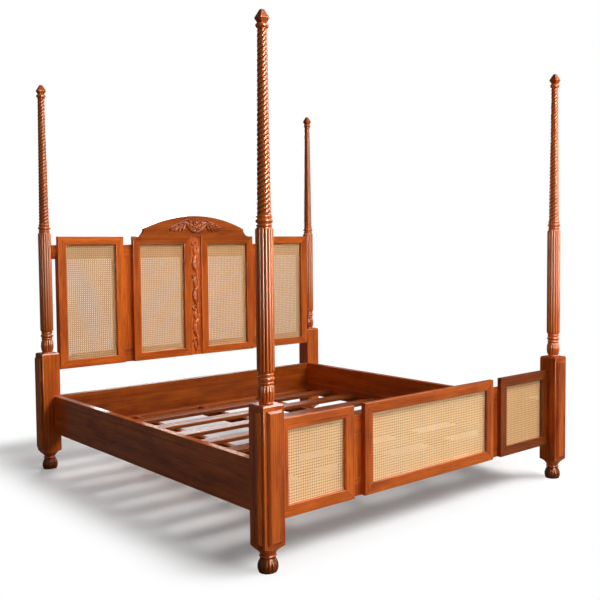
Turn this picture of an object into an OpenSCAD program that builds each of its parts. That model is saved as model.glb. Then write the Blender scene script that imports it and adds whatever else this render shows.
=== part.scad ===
// Four-poster bed with rope-twist posts and caned head and foot boards, in millimetres.
// +X is the right side seen from the foot, +Y points to the head and +Z is up.
// The origin lies on the floor, midway between the four posts.

/* [Mattress] */
// Width of the mattress that the bed takes
mattress_w = 1800; // [1500:20:2160]
// Length of the mattress that the bed takes
mattress_l = 2000; // [1660:20:2400]
// Gap between the mattress and each side rail
side_clearance = 10; // [5:1:20]
// Gap between the mattress and the boards at its head and foot
end_clearance = 9; // [5:1:20]

/* [Legs] */
// Side of the square leg block
block = 100; // [83:1:120]
// Height at which the square faces of the block start
block_bottom = 106; // [90:1:140]
// Height at which the square faces of the block end
block_top = 660; // [655:1:800]
// Height of the chamfer round the top of the block
block_chamfer_h = 7; // [4:1:12]
// Radius of the turned neck under the block
neck_r = 30; // [25:1:36]
// Height of the reeded foot
foot_h = 60; // [50:1:72]
// Radius of the reeded foot at its widest
foot_r = 42; // [35:1:50]
// Margin round the raised panels on the outward faces
panel_margin = 15; // [12:1:20]
// Height of the raised panels above the block's faces
panel_rise = 14; // [11:1:17]

/* [Reeded column] */
// Height of the vase between the block and the lower collar
vase_h = 66; // [55:1:80]
// Radius of the vase at its belly
vase_r = 34.5; // [29:0.5:41.5]
// Height of the middle bead of the two collars
bead_h = 20; // [17:1:24]
// Radius of the collars' middle beads
bead_r = 34; // [29:1:41]
// Height of the reeded part
reeded_h = 565; // [470:5:680]
// Radius over the reeds
reeded_r = 35.5; // [32:0.5:42.5]
// Number of reeds round the column, the vase and the foot
reeds = 14; // [10:1:18]

/* [Rope-twist shaft] */
// Height of the twisted part
twist_h = 708; // [590:2:850]
// Radius over the ridges at the bottom
twist_bottom_r = 28; // [24:0.5:33.5]
// Radius over the ridges at the top
twist_top_r = 19.5; // [17:0.5:23.5]
// Number of ridges that wind round the shaft
twist_starts = 4; // [3:1:6]
// Height in which one ridge goes once round
twist_lead = 75; // [60:1:90]
// Depth of the hollows between the ridges at the bottom
twist_depth = 4.5; // [2:0.5:6]
// Radius of the bead on top of the shaft
top_bead_r = 26; // [23:1:31]

/* [Finial] */
// Height of the finial
finial_h = 53; // [44:1:64]
// Width of the square finial at its widest
finial_w = 44; // [37:1:52]

/* [Boards] */
// Height of the headboard's lower edge
headboard_bottom = 570; // [560:5:600]
// Height of the headboard's side frames
headboard_top = 1331; // [1110:1:1340]
// Height of the crest board at its middle
crest_top = 1461; // [1400:1:1560]
// Height of the footboard's lower edge
footboard_bottom = 192; // [160:1:196]
// Height of the footboard's upper edge
footboard_top = 597; // [500:1:640]
// Distance from the footboard's rear face to the foot legs' inner faces
foot_setback = 8; // [5:1:12]
// Width of the middle frame of each board
centre_w = 880; // [740:10:1050]
// Gap that shows the mullions between the frames
mullion_gap = 62; // [50:1:75]
// Width of the frames' members
frame_w = 48; // [40:1:56]
// Thickness of the raised front frames
frame_t = 24; // [20:1:29]
// Thickness of the rails and mullions behind the frames
back_t = 24; // [20:1:29]
// Height of the back rails
back_rail_h = 80; // [67:1:96]
// Width of the carved strip down the middle of the headboard
strip_w = 76; // [64:1:92]
// Thickness of the carved strip
strip_t = 14; // [10:1:18]
// Thickness of the cane sheets
cane_t = 2; // [1.5:0.1:2.5]

/* [Rails and base] */
// Height of the rails' lower edges
rail_bottom = 205; // [198:1:220]
// Height of the rails themselves
rail_h = 215; // [180:5:258]
// Thickness of the rails
rail_t = 35; // [29:1:42]
// Height of the slats' upper faces
slat_top = 258; // [250:1:280]
// Number of slats
slat_count = 8; // [6:1:12]
// Width of one slat
slat_w = 90; // [75:5:110]
// Thickness of one slat
slat_t = 20; // [16:1:24]
// Distance from the head rail to the middle of the first slat
first_slat = 235; // [100:5:260]
// Distance from the footboard to the middle of the last slat
last_slat = 124; // [100:1:260]
// Thickness of the side ledgers
ledger_t = 30; // [25:1:36]
// Thickness of the cleats at head and foot
cleat_t = 30; // [25:1:36]
// Width of the lengthwise bearers
bearer_w = 30; // [25:1:36]
// Height of the lengthwise bearers
bearer_h = 50; // [42:1:60]
// Distance between the bearers
bearer_pitch = 450; // [375:5:540]
// Width of the forked centre leg
centre_leg_w = 46; // [40:1:56]

/* [Joints] */
// Thickness of the rails' tenons
tenon_t = 12; // [10:1:14]
// Height of the shoulder above and below a tenon
tenon_shoulder = 15; // [12:1:18]
// Clearance on each side of a joint
fit = 0.25; // [0.15:0.05:0.4]
// Open line left at each mitre
mitre_gap = 0.3; // [0.2:0.1:0.5]

/* [Hidden] */

// Finishes
WOOD = "sienna";
WOOD_LIGHT = "peru";
CANE = "burlywood";
STEEL = "silver";

// Overlap that keeps a cut or a joined shape clear of coincident faces
eps = 0.5;
// Rounding of the long edges of boards and of the front edges of frames
edge_r = 2.5;

// Post places
board_t = frame_t + back_t;
footboard_inset = block - board_t - foot_setback;
post_x = mattress_w / 2 + side_clearance + block / 2;
post_y = (mattress_l + 2 * end_clearance + footboard_inset + board_t) / 2;
inner_x = post_x - block / 2;
inner_y = post_y - block / 2;
POSTS = [["fl", -1, -1], ["fr", 1, -1], ["rl", -1, 1], ["rr", 1, 1]];

// Heights up the post
leg_top = block_top + block_chamfer_h;
plinth_h = 8;
vase_bottom = leg_top + plinth_h;
outer_bead_h = 0.7 * bead_h;
collar_h = bead_h + 2 * outer_bead_h;
reeded_bottom = vase_bottom + vase_h + collar_h;
reeded_top = reeded_bottom + reeded_h;
column_top = reeded_top + collar_h;
top_bead_h = 20;
column_face = reeded_r - 5.5;
column_tenon_l = 22;
shaft_top = column_top + twist_h + top_bead_h;
column_core_r = 20;

// Turned spigots: radius and length of each, and of the hole it enters
foot_spigot = [13, 45];
column_spigot = [16, 55];
shaft_spigot = [11, 45];
finial_spigot = [5, 25];
hole_extra = 2;
tenon_l = block / 2 - column_spigot[0] - 4;

// Boards: front faces, back faces and shared places across the bed
head_front_y = inner_y;
foot_front_y = -post_y - block / 2 + footboard_inset;
foot_rear_y = foot_front_y + board_t;
board_gap = 5;
board_half = inner_x - board_gap;
side_frame_w = board_half - centre_w / 2 - mullion_gap;
half_frame_w = (centre_w - strip_w) / 2;
rebate_w = 8;
rebate_d = 6;
cane_margin = 1;
back_lap = 10;
mullion_w = mullion_gap + 2 * (frame_w + back_lap);
mullion_x = (centre_w + mullion_gap) / 2;
muntin_w = strip_w + 2 * (frame_w + back_lap);
stile_w = frame_w + back_lap;
headboard_h = headboard_top - headboard_bottom;
footboard_h = footboard_top - footboard_bottom;
head_back_top = headboard_top - frame_w - 1;
foot_back_top = footboard_top - frame_w - 1;

// Crest board outline
ear_flat = 28;
cove_r = 48;
cusp_x = centre_w / 2 - ear_flat - cove_r;
cusp_z = headboard_top + cove_r;
crest_rise = crest_top - cusp_z;
arch_r = (cusp_x * cusp_x + crest_rise * crest_rise) / (2 * crest_rise);

// Base
slat_bottom = slat_top - slat_t;
slat_end_gap = 2;
slat_pitch = (head_front_y - first_slat - foot_rear_y - last_slat) / (slat_count - 1);
ledger_h = slat_bottom - rail_bottom;
ledger_l = 2 * inner_y - 10;
cleat_half = inner_x - ledger_t - 2;
lap_l = 18;
lap_h = 18;
fork_depth = 30;

// Steel fittings that hook the side rails to the legs
plate = [16, 2.5, 140];
hook_t = 2.5;
hook_reach = 12;
hook_h = 30;
hook_zs = [22, 88];
plate_z = rail_bottom + (rail_h - plate[2]) / 2;
rail_centre = block / 2 - rail_t / 2;
// The head rail's tenon lies behind its middle, clear of the hooks
head_tenon_y = 0.65 * rail_t;

// ---------- Shared shapes ----------

// Centre of the circle of radius r through p and q, on the right of the way from p to q
function arc_centre(p, q, r) =
    let (m = (p + q) / 2, d = q - p, l = norm(d), n = [d[1], -d[0]] / l)
    m + n * sqrt(r * r - l * l / 4);

// Section through a reed, from one hollow (0) over its crown to the next hollow (1)
function reed(p) = sqrt(sin(180 * p));

// Ring of points round the Z axis: count reeds with steps points each
function reeded_ring(z, crown, depth, count, steps, turn = 0) =
    [for (i = [0 : count * steps - 1])
        let (a = turn + 360 * i / (count * steps), r = crown - depth * (1 - reed((i % steps) / steps)))
        [r * cos(a), r * sin(a), z]];

// Solid skin over a stack of rings that hold the same number of points, split along the shorter diagonals
// where the rings turn anticlockwise as they rise
module loft(rings) {
    n = len(rings[0]);
    last = len(rings) - 1;
    polyhedron(
        points = [for (ring = rings) each ring],
        faces = concat(
            [[for (i = [0 : n - 1]) i]],
            [[for (i = [n - 1 : -1 : 0]) last * n + i]],
            [for (k = [0 : last - 1], i = [0 : n - 1]) let (j = (i + 1) % n, a = k * n, b = a + n)
                each [[a + i, b + i, a + j], [b + i, b + j, a + j]]]));
}

module rounded_rect(w, h, r) {
    translate([r, 0]) square([w - 2 * r, h]);
    translate([0, r]) square([w, h - 2 * r]);
    for (x = [r, w - r], y = [r, h - r]) translate([x, y]) circle(r = r, $fn = 24);
}

// Boards with rounded long edges, centred on their length
module board_x(l, t, h) {
    rotate([90, 0, 90]) linear_extrude(l, center = true) rounded_rect(t, h, edge_r);
}

module board_y(l, t, h) {
    rotate([90, 0, 0]) linear_extrude(l, center = true) rounded_rect(t, h, edge_r);
}

module board_z(w, t, h) {
    linear_extrude(h) rounded_rect(w, t, edge_r);
}

// Board along X with a tenon of this reach at each end, l long between its shoulders
module tenoned_rail(l, t, h, tenon_y, reach = tenon_l) {
    board_x(l, t, h);
    for (s = [-1, 1])
        translate([s * (l / 2 + reach / 2 - eps / 2), tenon_y, h / 2])
            cube([reach + eps, tenon_t, h - 2 * tenon_shoulder], center = true);
}

// Hole for such a tenon, entering a face at x = 0 towards +X, round the board's middle y
module tenon_hole(h, reach = tenon_l) {
    translate([-eps, -tenon_t / 2 - fit, tenon_shoulder - fit])
        cube([reach + hole_extra + eps, tenon_t + 2 * fit, h - 2 * tenon_shoulder + 2 * fit]);
}

module at_post(sx, sy) {
    translate([sx * post_x, sy * post_y, 0]) children();
}

// The same place, with local +X and +Y turned outwards from the bed by mirroring
module on_post(sx, sy) {
    at_post(sx, sy) mirror([sx < 0 ? 1 : 0, 0, 0]) mirror([0, sy < 0 ? 1 : 0, 0]) children();
}

// ---------- Posts, in the frame of on_post ----------

// Reeded bulb, widest below its middle, with a short neck and the spigot that enters the leg
module bun_foot() {
    bands = 5;
    steps = 3;
    reed_depth = 3;
    bulb_h = foot_h - 4;
    end_r = neck_r + 1;
    color(WOOD) {
        loft([for (k = [0 : bands])
            let (t = k / bands, belly = sin(30 + 150 * t))
            reeded_ring(bulb_h * t, end_r + (foot_r - end_r) * belly, reed_depth * belly, reeds, steps)]);
        translate([0, 0, bulb_h - eps])
            cylinder(h = foot_h - bulb_h + eps, r = neck_r - 1, $fn = 64);
        translate([0, 0, foot_h - eps])
            cylinder(h = foot_spigot[1] + eps, r = foot_spigot[0], $fn = 48);
    }
}

// Turned outline that rounds the block down into the neck
module neck_outline() {
    neck_h = 10;
    ring_r = 4.5;
    cove = 60;
    inset = 1;
    start = foot_h + neck_h;
    corner_r = block / sqrt(2) + 1;
    translate([0, foot_h]) square([neck_r, neck_h + 3 * inset]);
    translate([neck_r, foot_h + neck_h / 2]) circle(r = ring_r, $fn = 32);
    difference() {
        translate([0, start]) square([corner_r, block_bottom - start]);
        translate(arc_centre([neck_r - inset, start - inset], [corner_r, block_bottom], cove))
            circle(r = cove, $fn = 96);
    }
    translate([0, block_bottom - eps]) square([corner_r, leg_top - block_bottom + eps]);
}

// Field with square edges and a bevel above them, standing up from one outward face
module raised_panel() {
    edge_h = 6;
    bevel = panel_rise - edge_h;
    w = block - 2 * panel_margin;
    h = block_top - block_bottom - 2 * panel_margin;
    translate([block / 2, 0, block_bottom + panel_margin + h / 2]) hull() {
        cube([2 * edge_h, w, h], center = true);
        translate([panel_rise - eps / 2, 0, 0])
            cube([eps, w - 2 * bevel, h - 2 * bevel], center = true);
    }
}

module leg_body() {
    shoulder = 1;
    intersection() {
        translate([-block / 2, -block / 2, foot_h]) linear_extrude(block_top - foot_h)
            rounded_rect(block, block, edge_r);
        rotate_extrude($fn = 96) neck_outline();
    }
    translate([0, 0, block_top]) hull() {
        for (level = [[-eps, block - 2 * shoulder], [block_chamfer_h - eps, block - 2 * shoulder - 8]])
            translate([0, 0, level[0] + eps / 2]) cube([level[1], level[1], eps], center = true);
    }
    raised_panel();
    mirror([1, -1, 0]) raised_panel();
}

// Pocket in the inner end face for a post plate and for the hooks behind it
module plate_pocket() {
    room = 10;
    translate([-rail_centre, -block / 2, plate_z]) {
        translate([-plate[0] / 2 - fit, -eps, -fit])
            cube([plate[0] + 2 * fit, plate[1] + eps, plate[2] + 2 * fit]);
        translate([-hook_t, -eps, hook_zs[0] - room])
            cube([2 * hook_t, hook_reach + 1 + eps, hook_zs[1] - hook_zs[0] + hook_h + 2 * room]);
    }
}

// Mortises in the inner side face for the rails of the headboard or the footboard
module rail_mortises(is_head) {
    foot_y = block / 2 - footboard_inset - frame_t - back_t / 2;
    mortises = is_head
        ? [[head_tenon_y - block / 2, rail_bottom, rail_h],
           [frame_t + back_t / 2 - block / 2, headboard_bottom, back_rail_h]]
        : [[foot_y, footboard_bottom, back_rail_h],
           [foot_y, foot_back_top - back_rail_h, back_rail_h]];
    for (m = mortises) translate([-block / 2, m[0], m[1]]) tenon_hole(m[2]);
}

module leg(is_head) {
    color(WOOD) difference() {
        leg_body();
        translate([0, 0, foot_h - eps])
            cylinder(h = foot_spigot[1] + hole_extra + eps, r = foot_spigot[0] + fit, $fn = 48);
        translate([0, 0, leg_top - column_spigot[1] - hole_extra])
            cylinder(h = column_spigot[1] + hole_extra + eps, r = column_spigot[0] + fit, $fn = 48);
        plate_pocket();
        rail_mortises(is_head);
    }
}

// Three beads, the middle one taller and wider, from z = 0
module collar_outline() {
    outer_r = bead_r - 3;
    groove = 4;
    for (z = [outer_bead_h / 2, collar_h - outer_bead_h / 2])
        translate([outer_r - outer_bead_h / 2, z]) circle(r = outer_bead_h / 2, $fn = 32);
    translate([bead_r - bead_h / 2, collar_h / 2]) circle(r = bead_h / 2, $fn = 32);
    square([outer_r - groove, collar_h]);
}

// Turned parts of the column: plinth bead, two collars and the core that joins them
module column_outline() {
    plinth_r = bead_r - 5;
    square([plinth_r - plinth_h / 2, plinth_h]);
    translate([plinth_r - plinth_h / 2, plinth_h / 2]) circle(r = plinth_h / 2, $fn = 32);
    translate([0, plinth_h + vase_h]) collar_outline();
    translate([0, plinth_h + vase_h + collar_h + reeded_h]) collar_outline();
    translate([0, plinth_h / 2]) square([column_core_r, column_top - leg_top - plinth_h / 2]);
}

// Outline that the reeds stay within, so that each reed ends round
module reeded_limit() {
    tip = 14;
    limit_r = reeded_r + 1;
    square([limit_r - tip / 3, reeded_h]);
    translate([0, tip]) square([limit_r, reeded_h - 2 * tip]);
    for (z = [tip, reeded_h - tip]) translate([limit_r - tip, z]) circle(r = tip, $fn = 48);
}

// Round reeds side by side, each a little wider than its share of the ring
module reeded_part() {
    share = 1.08 * PI;
    reed_r = share * reeded_r / (reeds + share);
    intersection() {
        linear_extrude(reeded_h) {
            circle(r = reeded_r - reed_r, $fn = 64);
            for (i = [0 : reeds - 1]) rotate(360 * i / reeds) translate([reeded_r - reed_r, 0])
                circle(r = reed_r, $fn = 32);
        }
        rotate_extrude($fn = 96) reeded_limit();
    }
}

// Reeded barrel with rounded shoulders, its rings closer together near the ends, which run into the beads
module vase() {
    bands = 6;
    steps = 3;
    into_bead = 3;
    end_r = vase_r - 8;
    end_depth = 1;
    reed_depth = 4;
    loft([
        reeded_ring(-into_bead, end_r, end_depth, reeds, steps),
        for (k = [0 : bands])
            let (
                t = (1 - cos(180 * k / bands)) / 2,
                swell = sqrt(sin(180 * t)),
                crown = end_r + (vase_r - end_r) * swell,
                depth = end_depth + (reed_depth - end_depth) * swell)
            reeded_ring(vase_h * t, crown, depth, reeds, steps),
        reeded_ring(vase_h + into_bead, end_r, end_depth, reeds, steps)]);
}

module column(is_head) {
    color(WOOD) difference() {
        union() {
            translate([0, 0, leg_top]) rotate_extrude($fn = 96) column_outline();
            translate([0, 0, vase_bottom]) vase();
            translate([0, 0, reeded_bottom]) reeded_part();
            translate([0, 0, leg_top - column_spigot[1]])
                cylinder(h = column_spigot[1] + plinth_h, r = column_spigot[0], $fn = 48);
        }
        translate([0, 0, column_top - shaft_spigot[1] - hole_extra])
            cylinder(h = shaft_spigot[1] + hole_extra + eps, r = shaft_spigot[0] + fit, $fn = 48);
        if (is_head) column_tenon_hole();
    }
}

// Housing and mortise where the headboard's top rail enters the column
module column_tenon_hole() {
    y = frame_t + back_t / 2 - block / 2;
    translate([-column_face, y - back_t / 2 - fit, head_back_top - back_rail_h - fit])
        mirror([1, 0, 0]) cube([reeded_r, back_t + 2 * fit, back_rail_h + 2 * fit]);
    translate([-column_face, y, head_back_top - back_rail_h]) tenon_hole(back_rail_h, column_tenon_l);
}

// Tapered rope twist: the ridges turn as the ring rises and shrink with its radius
module rope_twist() {
    rings_per_turn = 8;
    steps = 4;
    into_bead = 3;
    h = twist_h + into_bead;
    rings = ceil(h * rings_per_turn / twist_lead);
    loft([for (k = [0 : rings])
        let (z = h * k / rings, r = twist_bottom_r + (twist_top_r - twist_bottom_r) * z / twist_h)
        reeded_ring(z, r, twist_depth * r / twist_bottom_r, twist_starts, steps, 360 * z / twist_lead)]);
}

module top_bead_outline() {
    core_r = top_bead_r - top_bead_h / 2;
    square([core_r, top_bead_h]);
    translate([core_r, top_bead_h / 2]) circle(r = top_bead_h / 2, $fn = 32);
}

module shaft() {
    color(WOOD) difference() {
        union() {
            translate([0, 0, column_top]) rope_twist();
            translate([0, 0, column_top + twist_h]) rotate_extrude($fn = 64) top_bead_outline();
            translate([0, 0, column_top - shaft_spigot[1]])
                cylinder(h = shaft_spigot[1] + 5, r = shaft_spigot[0], $fn = 48);
        }
        translate([0, 0, shaft_top - finial_spigot[1] - hole_extra])
            cylinder(h = finial_spigot[1] + hole_extra + eps, r = finial_spigot[0] + fit, $fn = 32);
    }
}

// Square block that widens to its belt and closes to a blunt point
module finial() {
    belt = 0.38 * finial_h;
    seat_w = 26;
    levels = [[eps / 2, seat_w], [belt, finial_w], [finial_h - 3, 16], [finial_h - eps / 2, 12]];
    color(WOOD) {
        for (k = [0, 1]) translate([0, 0, shaft_top]) hull()
            for (level = k == 0 ? [levels[0], levels[1]] : [levels[1], levels[2], levels[3]])
                translate([0, 0, level[0]]) cube([level[1], level[1], eps], center = true);
        translate([0, 0, shaft_top - finial_spigot[1]])
            cylinder(h = finial_spigot[1] + eps, r = finial_spigot[0], $fn = 32);
    }
}

// ---------- Mitred frames ----------

// Section of a frame member: front to back along x, outer to inner edge along y
module frame_section() {
    difference() {
        union() {
            translate([edge_r, 0]) square([frame_t - edge_r, frame_w]);
            translate([0, edge_r]) square([frame_t, frame_w - 2 * edge_r]);
            for (y = [edge_r, frame_w - edge_r]) translate([edge_r, y]) circle(r = edge_r, $fn = 24);
        }
        translate([frame_t - rebate_d, frame_w - rebate_w]) square([rebate_d + eps, rebate_w + eps]);
    }
}

// Member along X whose outer edge lies on z = 0, mitred at both ends
module mitred_member(l) {
    g = mitre_gap / sqrt(2);
    intersection() {
        translate([l / 2, 0, 0]) rotate([90, 0, 90]) linear_extrude(l, center = true) frame_section();
        translate([0, frame_t + eps, 0]) rotate([90, 0, 0]) linear_extrude(frame_t + 2 * eps)
            polygon([[g, 0], [l - g, 0], [l - g - frame_w, frame_w], [g + frame_w, frame_w]]);
    }
}

// Four-sided frame with its lower left front corner at the origin; the crest board can close its top
module mitred_frame(w, h, with_top = true) {
    mitred_member(w);
    if (with_top) translate([0, 0, h]) mirror([0, 0, 1]) mitred_member(w);
    mirror([1, 0, -1]) mitred_member(h);
    translate([w, 0, 0]) mirror([1, 0, 0]) mirror([1, 0, -1]) mitred_member(h);
}

// Cane sheet in the rebates of a frame of this outer size
module cane_sheet(w, h) {
    hidden = frame_w - rebate_w + cane_margin;
    color(CANE) translate([hidden, frame_t - rebate_d, hidden])
        cube([w - 2 * hidden, cane_t, h - 2 * hidden]);
}

// ---------- Headboard ----------

module head_top_rail() {
    color(WOOD) translate([0, head_front_y + frame_t, head_back_top - back_rail_h])
        tenoned_rail(2 * (post_x - column_face), back_t, back_rail_h, back_t / 2, column_tenon_l);
}

module head_bottom_rail() {
    color(WOOD) translate([0, head_front_y + frame_t, headboard_bottom])
        tenoned_rail(2 * inner_x, back_t, back_rail_h, back_t / 2);
}

// Upright between the two back rails, w wide and centred on x
module head_upright(x, w) {
    color(WOOD) translate([x - w / 2, head_front_y + frame_t, headboard_bottom + back_rail_h])
        board_z(w, back_t, head_back_top - headboard_bottom - 2 * back_rail_h);
}

module carved_strip() {
    w = strip_w - 2 * fit;
    color(WOOD_LIGHT) translate([-w / 2, head_front_y + frame_t - strip_t, headboard_bottom])
        board_z(w, strip_t, headboard_h - fit);
}

module head_side_frame(s) {
    x = s < 0 ? -board_half : board_half - side_frame_w;
    color(WOOD) translate([x, head_front_y, headboard_bottom])
        mitred_frame(side_frame_w, headboard_h);
}

module half_frame(s) {
    color(WOOD) translate([s < 0 ? -centre_w / 2 : strip_w / 2, head_front_y, headboard_bottom])
        mitred_frame(half_frame_w, headboard_h, with_top = false);
}

module crest_outline() {
    low = headboard_top - frame_w;
    g = mitre_gap / sqrt(2);
    difference() {
        intersection() {
            translate([0, crest_top - arch_r]) circle(r = arch_r, $fn = 180);
            translate([-centre_w / 2, low]) square([centre_w, crest_top - low + eps]);
        }
        for (s = [-1, 1]) mirror([s < 0 ? 1 : 0, 0]) {
            translate([centre_w / 2 - ear_flat, cusp_z]) circle(r = cove_r, $fn = 64);
            translate([centre_w / 2 - ear_flat, headboard_top])
                square([ear_flat + eps, crest_rise + cove_r]);
            polygon([[centre_w / 2 + eps, headboard_top + eps + g], [centre_w / 2 + eps, low - eps],
                [centre_w / 2 - frame_w - eps - g, low - eps]]);
            polygon([[strip_w / 2 - eps, headboard_top + eps + g], [strip_w / 2 - eps, low - eps],
                [strip_w / 2 + frame_w + eps + g, low - eps]]);
        }
        translate([-strip_w / 2, low - eps]) square([strip_w, frame_w + eps]);
    }
}

module crest_board() {
    color(WOOD) difference() {
        translate([0, head_front_y + frame_t, 0]) rotate([90, 0, 0])
            linear_extrude(frame_t) crest_outline();
        for (s = [-1, 1])
            translate([s * (strip_w + half_frame_w) / 2, head_front_y + frame_t, headboard_top - frame_w])
                cube([half_frame_w - 2 * (frame_w - rebate_w), 2 * rebate_d, 2 * rebate_w], center = true);
    }
}

module head_cane_side(s) {
    translate([s < 0 ? -board_half : board_half - side_frame_w, head_front_y, headboard_bottom])
        cane_sheet(side_frame_w, headboard_h);
}

module head_cane_centre() {
    for (x = [-centre_w / 2, strip_w / 2]) translate([x, head_front_y, headboard_bottom])
        cane_sheet(half_frame_w, headboard_h);
}

// ---------- Footboard ----------

module foot_back_rail(z) {
    color(WOOD) translate([0, foot_front_y + frame_t, z])
        tenoned_rail(2 * inner_x, back_t, back_rail_h, back_t / 2);
}

module foot_mullion(s) {
    bottom = footboard_bottom + back_rail_h;
    color(WOOD) translate([s * mullion_x - mullion_w / 2, foot_front_y + frame_t, bottom])
        board_z(mullion_w, back_t, foot_back_top - back_rail_h - bottom);
}

module foot_frame(x, w) {
    color(WOOD) translate([x, foot_front_y, footboard_bottom]) mitred_frame(w, footboard_h);
}

module foot_cane(x, w) {
    translate([x, foot_front_y, footboard_bottom]) cane_sheet(w, footboard_h);
}

// ---------- Rails and base ----------

module side_rail(s) {
    color(WOOD) difference() {
        translate([s < 0 ? -inner_x - rail_t : inner_x, 0, rail_bottom])
            board_y(2 * inner_y, rail_t, rail_h);
        for (e = [-1, 1])
            translate([s * (inner_x + rail_t / 2), e * inner_y, plate_z + plate[2] / 2])
            cube([plate[0] + 2 * fit, 2 * plate[1], plate[2] + 2 * fit], center = true);
    }
}

module head_rail() {
    color(WOOD) translate([0, inner_y, rail_bottom])
        tenoned_rail(2 * inner_x, rail_t, rail_h, head_tenon_y);
}

module ledger(s) {
    color(WOOD_LIGHT) translate([s < 0 ? -inner_x : inner_x - ledger_t, 0, rail_bottom])
        board_y(ledger_l, ledger_t, ledger_h);
}

// Lap pockets that the bearers drop into, opening towards +Y or -Y
module bearer_pockets(y, dir) {
    for (x = [-bearer_pitch, 0, bearer_pitch])
        translate([x - bearer_w / 2 - fit, dir > 0 ? y : y - lap_l - 1, slat_bottom - lap_h - fit])
            cube([bearer_w + 2 * fit, lap_l + 1, lap_h + 1]);
}

module head_cleat() {
    y = head_front_y - cleat_t;
    color(WOOD_LIGHT) difference() {
        translate([0, y, rail_bottom]) board_x(2 * cleat_half, cleat_t, ledger_h);
        translate([0, -eps, 0]) bearer_pockets(y, 1);
    }
}

module foot_cleat() {
    color(WOOD_LIGHT) difference() {
        translate([0, foot_rear_y, rail_bottom]) board_x(2 * cleat_half, cleat_t, ledger_h);
        translate([0, eps, 0]) bearer_pockets(foot_rear_y + cleat_t, -1);
    }
}

// Lengthwise bearer that carries the slats, its ends lapped into the cleats
module bearer(x) {
    y0 = foot_rear_y + cleat_t;
    y1 = head_front_y - cleat_t;
    shoulder = 0.5;
    color(WOOD_LIGHT) {
        translate([x - bearer_w / 2, (y0 + y1) / 2, slat_bottom - bearer_h])
            board_y(y1 - y0 - 2 * shoulder, bearer_w, bearer_h);
        translate([x - bearer_w / 2, y0 - lap_l + 1 + eps, slat_bottom - lap_h])
            cube([bearer_w, y1 - y0 + 2 * (lap_l - 1 - eps), lap_h - edge_r]);
    }
}

// Square prop with a fork that holds the middle bearer
module centre_leg() {
    top = slat_bottom - bearer_h + fork_depth;
    color(WOOD_LIGHT) translate([0, -centre_leg_w / 2, 0]) difference() {
        translate([-centre_leg_w / 2, 0, 0]) board_z(centre_leg_w, centre_leg_w, top);
        translate([-bearer_w / 2 - fit, -eps, slat_bottom - bearer_h])
            cube([bearer_w + 2 * fit, centre_leg_w + 2 * eps, fork_depth + eps]);
    }
}

module slats() {
    color(WOOD_LIGHT) for (i = [0 : slat_count - 1])
        translate([0, head_front_y - first_slat - i * slat_pitch - slat_w / 2, slat_bottom])
            board_x(2 * (inner_x - slat_end_gap), slat_w, slat_t);
}

// ---------- Steel fittings ----------

// Hook seen from the side: it enters the slot and drops behind the post plate
module hook_outline() {
    throat = plate[1] + 0.8;
    polygon([[-plate[1], 0], [throat, 0], [throat, -8], [hook_reach, -8], [hook_reach, hook_h - 8],
        [-plate[1], hook_h - 8]]);
}

// Plate let into the end of a side rail, local +Y pointing into the leg
module hook_plate() {
    color(STEEL) {
        translate([-plate[0] / 2, -plate[1], 0]) cube(plate);
        for (z = hook_zs)
            translate([-hook_t / 2, 0, z + 8]) rotate([90, 0, 90]) linear_extrude(hook_t) hook_outline();
    }
}

// Slotted plate let into the leg
module slotted_plate() {
    slot_w = hook_t + 1.5;
    color(STEEL) difference() {
        translate([-plate[0] / 2, 0.1, 0]) cube([plate[0], plate[1] - 0.1, plate[2]]);
        for (z = hook_zs)
            translate([-slot_w / 2, -eps, z + 7]) cube([slot_w, plate[1] + 2 * eps, hook_h + 4]);
    }
}

module at_rail_ends() {
    for (post = POSTS) on_post(post[1], post[2])
        translate([-rail_centre, -block / 2, plate_z]) children();
}

// ---------- Drawing ----------

for (post = POSTS) {
    name = post[0];
    is_head = post[2] > 0;
    on_post(post[1], post[2]) bun_foot();
    on_post(post[1], post[2]) leg(is_head);
    on_post(post[1], post[2]) column(is_head);
    at_post(post[1], post[2]) shaft();
    on_post(post[1], post[2]) finial();
}

head_top_rail();
head_bottom_rail();
head_upright(stile_w / 2 - board_half, stile_w);  // head_stile_left
head_upright(board_half - stile_w / 2, stile_w);  // head_stile_right
head_upright(-mullion_x, mullion_w);  // head_mullion_left
head_upright(mullion_x, mullion_w);  // head_mullion_right
head_upright(0, muntin_w);  // head_muntin
carved_strip();
head_side_frame(-1);  // head_frame_left
head_side_frame(1);  // head_frame_right
half_frame(-1);  // half_frame_left
half_frame(1);  // half_frame_right
crest_board();
head_cane_side(-1);  // head_cane_left
head_cane_side(1);  // head_cane_right
head_cane_centre();

foot_back_rail(foot_back_top - back_rail_h);  // foot_top_rail
foot_back_rail(footboard_bottom);  // foot_bottom_rail
foot_mullion(-1);  // foot_mullion_left
foot_mullion(1);  // foot_mullion_right
foot_frame(-board_half, side_frame_w);  // foot_frame_left
foot_frame(-centre_w / 2, centre_w);  // foot_frame_centre
foot_frame(board_half - side_frame_w, side_frame_w);  // foot_frame_right
foot_cane(-board_half, side_frame_w);  // foot_cane_left
foot_cane(-centre_w / 2, centre_w);  // foot_cane_centre
foot_cane(board_half - side_frame_w, side_frame_w);  // foot_cane_right

side_rail(-1);  // side_rail_left
side_rail(1);  // side_rail_right
head_rail();
ledger(-1);  // ledger_left
ledger(1);  // ledger_right
head_cleat();
foot_cleat();
bearer(-bearer_pitch);  // bearer_left
bearer(0);  // bearer_centre
bearer(bearer_pitch);  // bearer_right
centre_leg();
slats();
at_rail_ends() hook_plate();  // rail_hooks
at_rail_ends() slotted_plate();  // post_plates
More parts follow.
